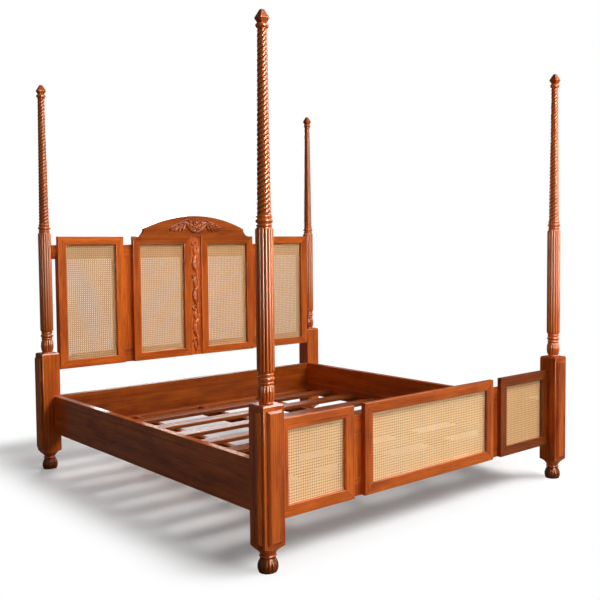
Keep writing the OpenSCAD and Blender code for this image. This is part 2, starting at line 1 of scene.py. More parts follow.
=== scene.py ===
"""Looks of a four-poster bed with rope-twist posts, caned boards and a slatted base.

The flat boards, rails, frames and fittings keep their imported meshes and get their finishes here. The
turned posts, the leg blocks, the crest board and the cane are made finer and stand for their nodes, and
the carvings and screws are added. Everything is in metres, with +X to the right seen from the foot, +Y to
the head and +Z up, and the origin on the floor midway between the posts.
"""

from __future__ import annotations

import logging
import math
import random
from contextlib import contextmanager
from dataclasses import dataclass, field, replace
from enum import Enum
from itertools import count
from typing import Callable, Iterable, Iterator, Sequence

import bmesh
import bpy
import numpy as np
from mathutils import Matrix, Vector

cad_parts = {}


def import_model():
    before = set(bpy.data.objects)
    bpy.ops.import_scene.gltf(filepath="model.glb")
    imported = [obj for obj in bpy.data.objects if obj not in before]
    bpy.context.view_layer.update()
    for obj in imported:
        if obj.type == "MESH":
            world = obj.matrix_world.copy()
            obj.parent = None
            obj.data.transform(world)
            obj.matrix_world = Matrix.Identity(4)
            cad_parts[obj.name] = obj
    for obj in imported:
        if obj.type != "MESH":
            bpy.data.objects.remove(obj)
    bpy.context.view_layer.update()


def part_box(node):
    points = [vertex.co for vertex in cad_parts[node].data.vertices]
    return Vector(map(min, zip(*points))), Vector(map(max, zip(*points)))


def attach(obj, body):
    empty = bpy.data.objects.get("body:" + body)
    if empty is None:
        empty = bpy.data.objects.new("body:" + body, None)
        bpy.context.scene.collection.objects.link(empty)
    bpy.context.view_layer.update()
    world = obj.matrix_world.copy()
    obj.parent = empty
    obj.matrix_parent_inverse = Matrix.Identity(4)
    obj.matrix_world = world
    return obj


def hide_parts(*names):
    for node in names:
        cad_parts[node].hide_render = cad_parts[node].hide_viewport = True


LOG = logging.getLogger("bed")

MM = 0.001
ROOT = "root"
CREST_SEED = 7

Colour = tuple[float, float, float]
Point2 = tuple[float, float]
Point3 = tuple[float, float, float]

WHITE: Colour = (1.0, 1.0, 1.0)


# ---- Node trees ----


class MixKind(Enum):
    """What a mix node blends: its data type and the numbers of its two inputs and its output."""

    VECTOR = ("VECTOR", 4, 5, 1)
    COLOUR = ("RGBA", 6, 7, 2)


class Graph:
    """Adds and wires the nodes of one tree, in the order in which they are written."""

    COLUMN = 190.0

    def __init__(self, tree: bpy.types.NodeTree) -> None:
        """Starts on a tree, which may already hold nodes."""
        self.tree = tree
        self.count = len(tree.nodes)

    @classmethod
    def group(cls, name: str, kind: str, inputs: dict[str, str], outputs: dict[str, str]) -> Graph:
        """Makes a node group with its sockets.

        Args:
            name: Name of the group.
            kind: Shader or Geometry.
            inputs: Kinds of the inputs by name.
            outputs: Kinds of the outputs by name.

        Returns:
            The graph, ready for its nodes.
        """
        tree = bpy.data.node_groups.new(name, f"{kind}NodeTree")
        for side, sockets in (("INPUT", inputs), ("OUTPUT", outputs)):
            for socket, its_kind in sockets.items():
                tree.interface.new_socket(name=socket, in_out=side, socket_type=f"NodeSocket{its_kind}")
        return cls(tree)

    @classmethod
    def material(cls, name: str) -> tuple[bpy.types.Material, Graph]:
        """Makes a material without nodes.

        Args:
            name: Name of the material.

        Returns:
            The material and the graph for its nodes.
        """
        made = bpy.data.materials.new(name)
        made.use_nodes = True
        made.node_tree.nodes.clear()
        return made, cls(made.node_tree)

    def add(self, kind: str, inputs: dict | None = None, **settings: object) -> bpy.types.Node:
        """Adds a node.

        Args:
            kind: Blender's name for the type of node.
            inputs: Values, sockets or nodes for its inputs, by name or index.
            settings: Attributes of the node.

        Returns:
            The new node.
        """
        node = self.tree.nodes.new(kind)
        node.location = (self.COLUMN * self.count, 0.0)
        self.count += 1
        for name, value in settings.items():
            setattr(node, name, value)
        for key, value in (inputs or {}).items():
            self.feed(node.inputs[key], value)
        return node

    def feed(self, socket: bpy.types.NodeSocket, value: object) -> None:
        """Gives an input a value, or links it.

        Args:
            socket: The input.
            value: A socket or a node to link from, or a plain value.
        """
        if isinstance(value, bpy.types.NodeSocket):
            self.tree.links.new(value, socket)
        elif isinstance(value, bpy.types.Node):
            self.tree.links.new(value.outputs[0], socket)
        else:
            socket.default_value = value

    def math(self, operation: str, *values: object, clamp: bool = False) -> bpy.types.NodeSocket:
        """Adds a math node and returns its result."""
        node = self.add("ShaderNodeMath", dict(enumerate(values)), operation=operation, use_clamp=clamp)
        return node.outputs[0]

    def vector(self, operation: str, *values: object) -> bpy.types.NodeSocket:
        """Adds a vector math node and returns its vector."""
        return self.add("ShaderNodeVectorMath", dict(enumerate(values)), operation=operation).outputs[0]

    def scaled(self, vector: object, scale: object) -> bpy.types.NodeSocket:
        """Adds a node that scales a vector and returns the result."""
        return self.add("ShaderNodeVectorMath", {0: vector, "Scale": scale}, operation="SCALE").outputs[0]

    def length(self, value: object) -> bpy.types.NodeSocket:
        """Adds a vector length node and returns its value."""
        return self.add("ShaderNodeVectorMath", {0: value}, operation="LENGTH").outputs["Value"]

    def parts(self, value: object) -> bpy.types.NodeOutputs:
        """Splits a vector and returns the outputs X, Y and Z."""
        return self.add("ShaderNodeSeparateXYZ", {0: value}).outputs

    def place(self) -> bpy.types.NodeSocket:
        """Adds the texture coordinates and returns the place on the object."""
        return self.add("ShaderNodeTexCoord").outputs["Object"]

    def noise(self, vector: object, scale: float, detail: float = 2.0) -> bpy.types.NodeSocket:
        """Adds a noise texture and returns its value."""
        inputs = {"Vector": vector, "Scale": scale, "Detail": detail}
        return self.add("ShaderNodeTexNoise", inputs).outputs["Fac"]

    def bump(self, height: object, strength: float, distance: float) -> bpy.types.Node:
        """Adds a bump node and returns it."""
        return self.add("ShaderNodeBump", {"Height": height, "Strength": strength, "Distance": distance})

    def ramp(self, value: object, low: float, high: float,
             to: Point2 = (0.0, 1.0)) -> bpy.types.NodeSocket:
        """Maps a value from one range to another, with smooth ends.

        Args:
            value: What is mapped.
            low: Value at which the result is the first of to.
            high: Value at which the result is the second of to.
            to: The two results.

        Returns:
            The mapped value.
        """
        inputs = {"Value": value, "From Min": low, "From Max": high, "To Min": to[0], "To Max": to[1]}
        return self.add("ShaderNodeMapRange", inputs, interpolation_type="SMOOTHSTEP").outputs[0]

    def mix(self, factor: object, first: object, second: object,
            kind: MixKind = MixKind.COLOUR) -> bpy.types.NodeSocket:
        """Mixes two colours or two vectors.

        Args:
            factor: Share of the second value.
            first: The first value.
            second: The second value.
            kind: Whether colours or vectors are mixed.

        Returns:
            The mixed value.
        """
        data_type, a, b, result = kind.value
        node = self.add("ShaderNodeMix", {0: factor, a: first, b: second}, data_type=data_type)
        return node.outputs[result]

    def attribute(self, name: str) -> bpy.types.NodeSocket:
        """Adds a number that a mesh stores under a name, for a geometry tree, and returns it."""
        node = self.add("GeometryNodeInputNamedAttribute", {"Name": name}, data_type="FLOAT")
        return node.outputs["Attribute"]

    def finish_geometry(self, geometry: object, finish: object, join_gap: float = 0.0) -> None:
        """Ends a geometry tree: its copies are made real and get their material.

        Args:
            geometry: The geometry so far.
            finish: The material.
            join_gap: Distance within which points are joined, where any are.
        """
        real = self.add("GeometryNodeRealizeInstances", {"Geometry": geometry})
        if join_gap:
            real = self.add("GeometryNodeMergeByDistance", {"Geometry": real, "Distance": join_gap})
        dressed = self.add("GeometryNodeSetMaterial", {"Geometry": real, "Material": finish})
        self.add("NodeGroupOutput", {"Geometry": dressed})


def rgba(colour: Colour) -> tuple[float, float, float, float]:
    """Returns a colour with full opacity."""
    return (*colour, 1.0)


# ---- Shader groups ----


@dataclass(frozen=True)
class WoodFigure:
    """Growth rings, ribbon stripes, fibres and pores of a board whose fibres run along Z.

    A stretch is how fast a pattern changes along the fibres, as a share of how fast it changes across
    them. Scales are per metre, and a range says where a pattern starts to show and where it shows in full.
    """

    ring_stretch: float = 0.07
    ring_detail: float = 3.0
    ring_detail_scale: float = 0.28
    ring_detail_roughness: float = 0.55
    ring_sharpness: float = 1.6
    ring_height: float = 0.25
    fibre_stretch: float = 0.025
    fibre_scale: float = 420.0
    fibre_range: Point2 = (0.48, 0.78)
    fibre_roughness: float = 0.08
    pore_scale: float = 1300.0
    pore_range: Point2 = (0.56, 0.7)
    pore_detail: float = 1.0
    pore_share: float = 0.35
    ribbon_scale: float = 38.0
    ribbon_range: Point2 = (0.3, 0.7)
    ribbon_share: float = 0.55
    broad_detail: float = 3.0
    mottle_stretch: float = 0.22
    mottle_scale: float = 17.0
    mottle_range: Point2 = (0.40, 0.68)
    mottle_share: float = 0.75
    tone_scale: float = 7.0
    tone_range: Point2 = (0.42, 0.66)
    tone_share: float = 0.55
    shade_share: float = 0.75

    def group(self) -> bpy.types.NodeTree:
        """Builds the group.

        Returns:
            The group, which gives a colour, a roughness and a height.
        """
        graph = Graph.group(
            "wood_figure", "Shader",
            {"Vector": "Vector", "Light": "Color", "Middle": "Color", "Dark": "Color",
             "Ring Scale": "Float", "Waviness": "Float", "Streaks": "Float", "Roughness": "Float"},
            {"Color": "Color", "Roughness": "Float", "Height": "Float"})
        source = graph.add("NodeGroupInput").outputs
        slow, thin, short = (graph.vector("MULTIPLY", source["Vector"], (1.0, 1.0, stretch)) for stretch in
                             (self.ring_stretch, self.fibre_stretch, self.mottle_stretch))
        rings = graph.add("ShaderNodeTexWave", {
            "Vector": slow, "Scale": source["Ring Scale"], "Distortion": source["Waviness"],
            "Detail": self.ring_detail, "Detail Scale": self.ring_detail_scale,
            "Detail Roughness": self.ring_detail_roughness}, wave_type="RINGS", rings_direction="Z")
        late = graph.math("POWER", rings.outputs["Fac"], self.ring_sharpness)
        ribbon = graph.ramp(graph.noise(thin, self.ribbon_scale, self.broad_detail), *self.ribbon_range)
        mottle = graph.ramp(graph.noise(short, self.mottle_scale, self.broad_detail), *self.mottle_range)
        tone = graph.ramp(graph.noise(slow, self.tone_scale), *self.tone_range)
        streak = graph.ramp(graph.noise(thin, self.fibre_scale), *self.fibre_range)
        pore = graph.ramp(graph.noise(thin, self.pore_scale, self.pore_detail), *self.pore_range)
        body = graph.math("MULTIPLY_ADD", ribbon, self.ribbon_share,
                          graph.math("MULTIPLY", late, 1.0 - self.ribbon_share))
        base = graph.mix(body, source["Light"], source["Middle"])
        shade = graph.math("MULTIPLY_ADD", tone, self.tone_share,
                           graph.math("MULTIPLY", mottle, self.mottle_share))
        amount = graph.math("MULTIPLY", graph.math("MULTIPLY_ADD", shade, self.shade_share, streak),
                            source["Streaks"], clamp=True)
        toned = graph.mix(amount, base, source["Dark"])
        colour = graph.mix(graph.math("MULTIPLY", pore, self.pore_share), toned, source["Dark"])
        rough = graph.math("MULTIPLY_ADD", streak, self.fibre_roughness, source["Roughness"])
        height = graph.math("SUBTRACT", graph.math("MULTIPLY", late, self.ring_height), pore)
        graph.add("NodeGroupOutput", {"Color": colour, "Roughness": rough, "Height": height})
        return graph.tree


@dataclass(frozen=True)
class RecessStainAndShade:
    """Darker stain that gathers in hollows, with painted shade there too, and leaves the crowns pale."""

    hollow_range: Point2 = (0.12, 0.85)
    patch_scale: float = 60.0
    patch_range: Point2 = (0.2, 0.6)
    patch_amount: Point2 = (0.7, 1.0)
    dulling: float = 0.18

    def group(self) -> bpy.types.NodeTree:
        """Builds the group.

        Returns:
            The group, which gives a colour and a roughness.
        """
        graph = Graph.group(
            "recess_stain", "Shader",
            {"Color": "Color", "Hollow": "Float", "Stain": "Color", "Amount": "Float", "Roughness": "Float"},
            {"Color": "Color", "Roughness": "Float"})
        source = graph.add("NodeGroupInput").outputs
        patches = graph.noise(graph.place(), self.patch_scale)
        # Stain and painted shade: the deeper a point lies in a hollow, the darker its colour.
        depth = graph.math("MULTIPLY", graph.ramp(source["Hollow"], *self.hollow_range), source["Amount"])
        broken = graph.math("MULTIPLY", depth, graph.ramp(patches, *self.patch_range, self.patch_amount))
        graph.add("NodeGroupOutput", {
            "Color": graph.mix(broken, source["Color"], source["Stain"]),
            "Roughness": graph.math("MULTIPLY_ADD", broken, self.dulling, source["Roughness"])})
        return graph.tree


@dataclass(frozen=True)
class MitredGrain:
    """Turn of the grain in a mitred frame that stands in the XZ plane, with its glue lines."""

    rail_pith: Point2 = (1.6, 0.7)
    joint_range: Point2 = (0.4 * MM, 1.8 * MM)

    def group(self) -> bpy.types.NodeTree:
        """Builds the group.

        Returns:
            The group, which gives a vector whose Z runs along the fibres of each member, and the glue lines.
        """
        graph = Graph.group(
            "mitred_grain", "Shader",
            {"Vector": "Vector", "Centre": "Vector", "Half Size": "Vector", "Pith": "Vector"},
            {"Vector": "Vector", "Joint": "Float"})
        source = graph.add("NodeGroupInput").outputs
        local = graph.vector("SUBTRACT", source["Vector"], source["Centre"])
        reach = graph.vector("SUBTRACT", graph.vector("ABSOLUTE", local), source["Half Size"])
        parts = graph.parts(reach)
        upright = graph.math("GREATER_THAN", parts["X"], parts["Z"])
        side = graph.vector("SIGN", local)
        left_right = graph.vector("MULTIPLY_ADD", side, (1.0, 0.0, 0.0), (0.0, 1.0, 1.0))
        top_bottom = graph.vector("MULTIPLY_ADD", side, (0.0, 0.0, 1.0), (*self.rail_pith, 0.0))
        stile = graph.vector("MULTIPLY_ADD", left_right, source["Pith"], local)
        rail = graph.add("ShaderNodeMapping", {
            "Vector": graph.vector("MULTIPLY_ADD", top_bottom, source["Pith"], local),
            "Rotation": GrainAxis.X.value}, vector_type="POINT")
        vector = graph.mix(upright, rail, stile, MixKind.VECTOR)
        gap = graph.math("ABSOLUTE", graph.math("SUBTRACT", parts["X"], parts["Z"]))
        joint = graph.ramp(gap, *self.joint_range, (1.0, 0.0))
        graph.add("NodeGroupOutput", {"Vector": vector, "Joint": joint})
        return graph.tree


class ShaderGroups:
    """Effects that several finishes share, each built once."""

    def __init__(self) -> None:
        """Builds every group."""
        self.wood_figure = WoodFigure().group()
        self.recess_stain = RecessStainAndShade().group()
        self.mitred_grain = MitredGrain().group()


# ---- Finishes ----


class GrainAxis(Enum):
    """Direction in which a board's fibres run, as the turn in radians that brings them to Z."""

    X = (0.0, -math.pi / 2, 0.0)
    Y = (math.pi / 2, 0.0, 0.0)
    Z = (0.0, 0.0, 0.0)


@dataclass(frozen=True)
class Board:
    """Place of a board in the material's coordinates."""

    centre: Point3
    axis: GrainAxis
    seed: int = 0
    pith_reach: Point2 = (0.06, 0.14)
    pith_slide: float = 3.0

    def pith(self) -> Vector:
        """Draws where the middle of the tree lies from the board's centre.

        Returns:
            The place, in the grain's frame.
        """
        dice = random.Random(self.seed)
        angle, reach = dice.uniform(0.0, 2 * math.pi), dice.uniform(*self.pith_reach)
        slide = dice.uniform(-self.pith_slide, self.pith_slide)
        return Vector((reach * math.cos(angle), reach * math.sin(angle), slide))


@dataclass(frozen=True)
class MitredFrame:
    """Place and size of a mitred frame in the material's coordinates."""

    centre: Point3
    half: Point3
    seed: int = 0


@dataclass(frozen=True)
class WoodFinish:
    """Stained and varnished timber."""

    name: str
    light: Colour
    middle: Colour
    dark: Colour
    roughness: float
    coat: float
    coat_roughness: float
    streaks: float
    ring_scale: float = 34.0
    waviness: float = 6.0
    pore_depth: float = 0.05 * MM
    pore_strength: float = 0.35
    # Colour and amount of the stain in hollows, which also paints shade there.
    stain_and_shade: Colour = (0.075, 0.011, 0.004)
    stain_amount: float = 0.78
    under_gloss: float = 0.06

    def toned(self, share: float) -> WoodFinish:
        """Makes the finish of a darker or paler board.

        Args:
            share: Tone of the board, where 1 is as written.

        Returns:
            The toned finish.
        """
        colours = (self.light, self.middle, self.dark)
        light, middle, dark = (tuple(share * part for part in colour) for colour in colours)
        return replace(self, light=light, middle=middle, dark=dark)

    def material(self, groups: ShaderGroups, name: str, place: Board | MitredFrame,
                 has_hollows: bool = False) -> bpy.types.Material:
        """Builds the finish for one board or frame.

        Args:
            groups: The shared shader groups.
            name: Name of the node or piece.
            place: How the grain lies in it.
            has_hollows: Whether the mesh carries an attribute for its hollows.

        Returns:
            The material.
        """
        material, graph = Graph.material(f"{self.name}_{name}")
        vector, hollow = self._grain_vector(graph, groups, place)
        figure = graph.add("ShaderNodeGroup", {
            "Vector": vector, "Light": rgba(self.light), "Middle": rgba(self.middle),
            "Dark": rgba(self.dark), "Ring Scale": self.ring_scale, "Waviness": self.waviness,
            "Streaks": self.streaks, "Roughness": self.roughness}, node_tree=groups.wood_figure).outputs
        colour, rough = figure["Color"], figure["Roughness"]
        if has_hollows:
            hollow = graph.add("ShaderNodeAttribute", attribute_name="hollow").outputs["Fac"]
        # Hollows get stain and painted shade, and the glue lines of a frame are darkened the same way.
        if hollow is not None:
            stained_and_shaded = graph.add("ShaderNodeGroup", {
                "Color": colour, "Hollow": hollow, "Stain": rgba(self.stain_and_shade), "Amount": self.stain_amount,
                "Roughness": rough}, node_tree=groups.recess_stain).outputs
            colour, rough = stained_and_shaded["Color"], stained_and_shaded["Roughness"]
        shader = graph.add("ShaderNodeBsdfPrincipled", {
            "Base Color": colour, "Roughness": rough,
            "Normal": graph.bump(figure["Height"], self.pore_strength, self.pore_depth),
            "Specular IOR Level": self.under_gloss, "Coat Weight": self.coat,
            "Coat Roughness": self.coat_roughness})
        graph.add("ShaderNodeOutputMaterial", {"Surface": shader})
        return material

    @staticmethod
    def _grain_vector(graph: Graph, groups: ShaderGroups, place: Board | MitredFrame,
                      ) -> tuple[bpy.types.NodeSocket, bpy.types.NodeSocket | None]:
        """Adds the coordinates whose Z runs along the fibres.

        Args:
            graph: The material's graph.
            groups: The shared shader groups.
            place: How the grain lies in the piece.

        Returns:
            The coordinates, and the glue lines of a frame.
        """
        source = graph.place()
        if isinstance(place, Board):
            turn = Matrix.Identity(3)
            for axis, angle in zip("XYZ", place.axis.value):
                turn = Matrix.Rotation(angle, 3, axis) @ turn
            shift = place.pith() - turn @ Vector(place.centre)
            mapping = graph.add("ShaderNodeMapping", {
                "Vector": source, "Rotation": place.axis.value, "Location": tuple(shift)},
                vector_type="POINT")
            return mapping.outputs[0], None
        pith = Board(place.centre, GrainAxis.Z, place.seed).pith()
        frame = graph.add("ShaderNodeGroup", {
            "Vector": source, "Centre": place.centre, "Half Size": place.half, "Pith": tuple(pith)},
            node_tree=groups.mitred_grain)
        return frame.outputs["Vector"], frame.outputs["Joint"]


@dataclass(frozen=True)
class CaneFinish:
    """Split cane with a thin coat of varnish.

    Scales are per metre, and a range says where a pattern starts to show and where it shows in full.
    """

    name: str = "cane"
    pale: Colour = (0.91, 0.64, 0.35)
    warm: Colour = (0.85, 0.535, 0.24)
    # Painted shade colour for the strands' side walls and backs, where the holes look dark.
    shadow: Colour = (0.10, 0.05, 0.015)
    depth: float = 0.95
    depth_power: float = 2.5
    patch_scale: float = 9.0
    patch_range: Point2 = (0.3, 0.75)
    strand_scale: float = 210.0
    strand_range: Point2 = (0.3, 0.7)
    strand_detail: float = 1.0
    strand_share: float = 0.6
    mark_scale: float = 900.0
    mark_range: Point2 = (0.6, 0.85)
    mark_amount: Point2 = (0.0, 0.5)
    mark_depth: float = 0.1 * MM
    mark_strength: float = 0.3
    roughness: float = 0.42
    roughness_spread: float = 0.12
    coat: float = 0.25
    coat_roughness: float = 0.3

    def toned(self, name: str, tint: Colour) -> CaneFinish:
        """Makes the finish of a sheet painted darker than the others, as painted shade where less light
        falls on it.

        Args:
            name: Name of the sheet.
            tint: Share of each colour that is left.

        Returns:
            The toned finish.
        """
        pale, warm = (tuple(t * c for t, c in zip(tint, colour)) for colour in (self.pale, self.warm))
        return replace(self, name=f"{self.name}_{name}", pale=pale, warm=warm)

    def material(self) -> bpy.types.Material:
        """Builds the material.

        Returns:
            The material, in which strands differ a little and darken with age in patches, and painted shade
            darkens their side walls and backs.
        """
        material, graph = Graph.material(self.name)
        place = graph.place()
        patches = graph.ramp(graph.noise(place, self.patch_scale), *self.patch_range)
        strands = graph.ramp(graph.noise(place, self.strand_scale, self.strand_detail), *self.strand_range)
        marks = graph.noise(place, self.mark_scale)
        tint = graph.math("MULTIPLY_ADD", strands, self.strand_share,
                          graph.math("MULTIPLY", patches, 1.0 - self.strand_share))
        base = graph.mix(tint, rgba(self.pale), rgba(self.warm))
        # Painted shade from the weave's hollow values, added to the real wear marks.
        hollow = graph.add("ShaderNodeAttribute", attribute_name="hollow").outputs["Fac"]
        dark = graph.math("MULTIPLY", graph.math("POWER", hollow, self.depth_power), self.depth)
        wear_and_painted_shade = graph.math("ADD", graph.ramp(marks, *self.mark_range, self.mark_amount), dark, clamp=True)
        rough = graph.math("MULTIPLY_ADD", marks, self.roughness_spread,
                           self.roughness - self.roughness_spread / 2)
        shader = graph.add("ShaderNodeBsdfPrincipled", {
            "Base Color": graph.mix(wear_and_painted_shade, base, rgba(self.shadow)), "Roughness": rough,
            "Normal": graph.bump(marks, self.mark_strength, self.mark_depth), "Coat Weight": self.coat,
            "Coat Roughness": self.coat_roughness})
        graph.add("ShaderNodeOutputMaterial", {"Surface": shader})
        return material


@dataclass(frozen=True)
class ZincSteel:
    """Zinc-plated steel of the plates, hooks and screws."""

    name: str = "zinc_steel"
    bright: Colour = (0.62, 0.60, 0.56)
    dull: Colour = (0.42, 0.40, 0.36)
    cloud_scale: float = 140.0
    cloud_detail: float = 3.0
    cloud_range: Point2 = (0.35, 0.7)
    brush_scale: float = 2200.0
    brush_stretch: Point3 = (1.0, 1.0, 0.05)
    brush_depth: float = 0.02 * MM
    brush_strength: float = 0.2
    roughness: float = 0.34
    roughness_spread: float = 0.2

    def material(self) -> bpy.types.Material:
        """Builds the material, in which the plating is a little cloudy.

        Returns:
            The material.
        """
        material, graph = Graph.material(self.name)
        place = graph.place()
        cloud = graph.noise(place, self.cloud_scale, self.cloud_detail)
        brushed = graph.noise(graph.vector("MULTIPLY", place, self.brush_stretch), self.brush_scale)
        colour = graph.mix(graph.ramp(cloud, *self.cloud_range), rgba(self.bright), rgba(self.dull))
        rough = graph.math("MULTIPLY_ADD", cloud, self.roughness_spread,
                           self.roughness - self.roughness_spread / 2)
        shader = graph.add("ShaderNodeBsdfPrincipled", {
            "Base Color": colour, "Roughness": rough,
            "Normal": graph.bump(brushed, self.brush_strength, self.brush_depth), "Metallic": 1.0})
        graph.add("ShaderNodeOutputMaterial", {"Surface": shader})
        return material


MAHOGANY = WoodFinish(
    name="mahogany", light=(0.70, 0.157, 0.013), middle=(0.44, 0.070, 0.007), dark=(0.15, 0.015, 0.004),
    roughness=0.42, coat=0.9, coat_roughness=0.12, streaks=0.6)
BASE_WOOD = WoodFinish(
    name="base_wood", light=(0.55, 0.135, 0.020), middle=(0.37, 0.075, 0.011), dark=(0.15, 0.022, 0.005),
    roughness=0.45, coat=0.3, coat_roughness=0.22, streaks=0.6)


# ---- Geometry trees and mesh helpers ----


@dataclass(frozen=True)
class ReedCutter:
    """Cuts reeds, straight or wound, into a turned body on the Z axis.

    The seam shift adds whole reeds, so that every share is above zero, and a hair that keeps the points
    on a hollow's line on one side of it.
    """

    seam_shift: float = 64.0001
    least_radius: float = 0.01 * MM
    full_stain_and_shade_depth: float = 2 * MM

    def tree(self) -> bpy.types.NodeTree:
        """Builds the tree.

        The body's attributes say how far out the reeds may stand and how deep their hollows go at each
        level. The tree stores how deep each point lies in a hollow, which the finish paints darker as stain
        and painted shade.

        Returns:
            The tree.
        """
        graph = Graph.group(
            "reed_cutter", "Geometry",
            {"Geometry": "Geometry", "Reeds": "Float", "Turns per Metre": "Float", "Fullness": "Float",
             "Finish": "Material"},
            {"Geometry": "Geometry"})
        source = graph.add("NodeGroupInput").outputs
        parts = graph.parts(graph.add("GeometryNodeInputPosition"))
        crown, depth = graph.attribute("crown"), graph.attribute("depth")
        turn = graph.math("DIVIDE", graph.math("ARCTAN2", parts["Y"], parts["X"]), 2 * math.pi)
        wound = graph.math("SUBTRACT", turn, graph.math("MULTIPLY", parts["Z"], source["Turns per Metre"]))
        reed = graph.math("ADD", graph.math("MULTIPLY", wound, source["Reeds"]), self.seam_shift)
        half_turn = graph.math("MULTIPLY", graph.math("FRACT", reed), math.pi)
        arch = graph.math("POWER", graph.math("ABSOLUTE", graph.math("SINE", half_turn)), source["Fullness"])
        hollow = graph.math("SUBTRACT", 1.0, arch)
        limit = graph.math("SUBTRACT", crown, graph.math("MULTIPLY", depth, hollow))
        flat = graph.add("ShaderNodeCombineXYZ", {"X": parts["X"], "Y": parts["Y"], "Z": 0.0})
        radius = graph.length(flat)
        factor = graph.math("DIVIDE", graph.math("MINIMUM", radius, limit),
                            graph.math("MAXIMUM", radius, self.least_radius))
        place = graph.add("ShaderNodeCombineXYZ", {
            "X": graph.math("MULTIPLY", parts["X"], factor), "Y": graph.math("MULTIPLY", parts["Y"], factor),
            "Z": parts["Z"]})
        moved = graph.add("GeometryNodeSetPosition", {"Geometry": source["Geometry"], "Position": place})
        # Stain and painted shade in the hollows between the reeds, stored as the hollow attribute.
        stained_and_shaded = graph.math("MULTIPLY", hollow, graph.ramp(depth, 0.0, self.full_stain_and_shade_depth))
        stored = graph.add("GeometryNodeStoreNamedAttribute", {
            "Geometry": moved, "Name": "hollow", "Value": stained_and_shaded}, data_type="FLOAT", domain="POINT")
        graph.finish_geometry(stored, source["Finish"])
        return graph.tree


@dataclass(frozen=True)
class Lattice:
    """Repeats a small mesh in columns and rows, and joins copies whose edges meet.

    Each copy turns about the turn axis by up to the largest turn, in radians.
    """

    largest_turn: float = 1.5
    join_gap: float = 0.02 * MM
    index_guard: float = 0.5

    def tree(self) -> bpy.types.NodeTree:
        """Builds the tree.

        Returns:
            The tree.
        """
        graph = Graph.group(
            "lattice", "Geometry",
            {"Geometry": "Geometry", "Columns": "Int", "Rows": "Int", "Start": "Vector",
             "Column Step": "Vector", "Row Step": "Vector", "Turn Axis": "Vector", "Seed": "Int",
             "Finish": "Material"},
            {"Geometry": "Geometry"})
        source = graph.add("NodeGroupInput").outputs
        total = graph.math("MULTIPLY", source["Columns"], source["Rows"])
        line = graph.add("GeometryNodeMeshLine", {"Count": total, "Offset": (0.0, 0.0, 0.0)})
        index = graph.add("GeometryNodeInputIndex").outputs[0]
        column = graph.math("FLOORED_MODULO", index, source["Columns"])
        guarded = graph.math("ADD", index, self.index_guard)
        row = graph.math("FLOOR", graph.math("DIVIDE", guarded, source["Columns"]))
        across = graph.scaled(source["Column Step"], column)
        along = graph.scaled(source["Row Step"], row)
        place = graph.vector("ADD", graph.vector("ADD", source["Start"], across), along)
        points = graph.add("GeometryNodeSetPosition", {"Geometry": line, "Position": place})
        chance = graph.add("FunctionNodeRandomValue", {
            "Min": -self.largest_turn, "Max": self.largest_turn, "Seed": source["Seed"]}, data_type="FLOAT")
        angle = next(output for output in chance.outputs if output.enabled)
        copies = graph.add("GeometryNodeInstanceOnPoints", {
            "Points": points, "Instance": source["Geometry"],
            "Rotation": graph.scaled(source["Turn Axis"], angle)})
        graph.finish_geometry(copies, source["Finish"], self.join_gap)
        return graph.tree


class GeometryTrees:
    """Geometry node trees that several pieces share, each built once."""

    def __init__(self) -> None:
        """Builds every tree."""
        self.reed_cutter = ReedCutter().tree()
        self.lattice = Lattice().tree()


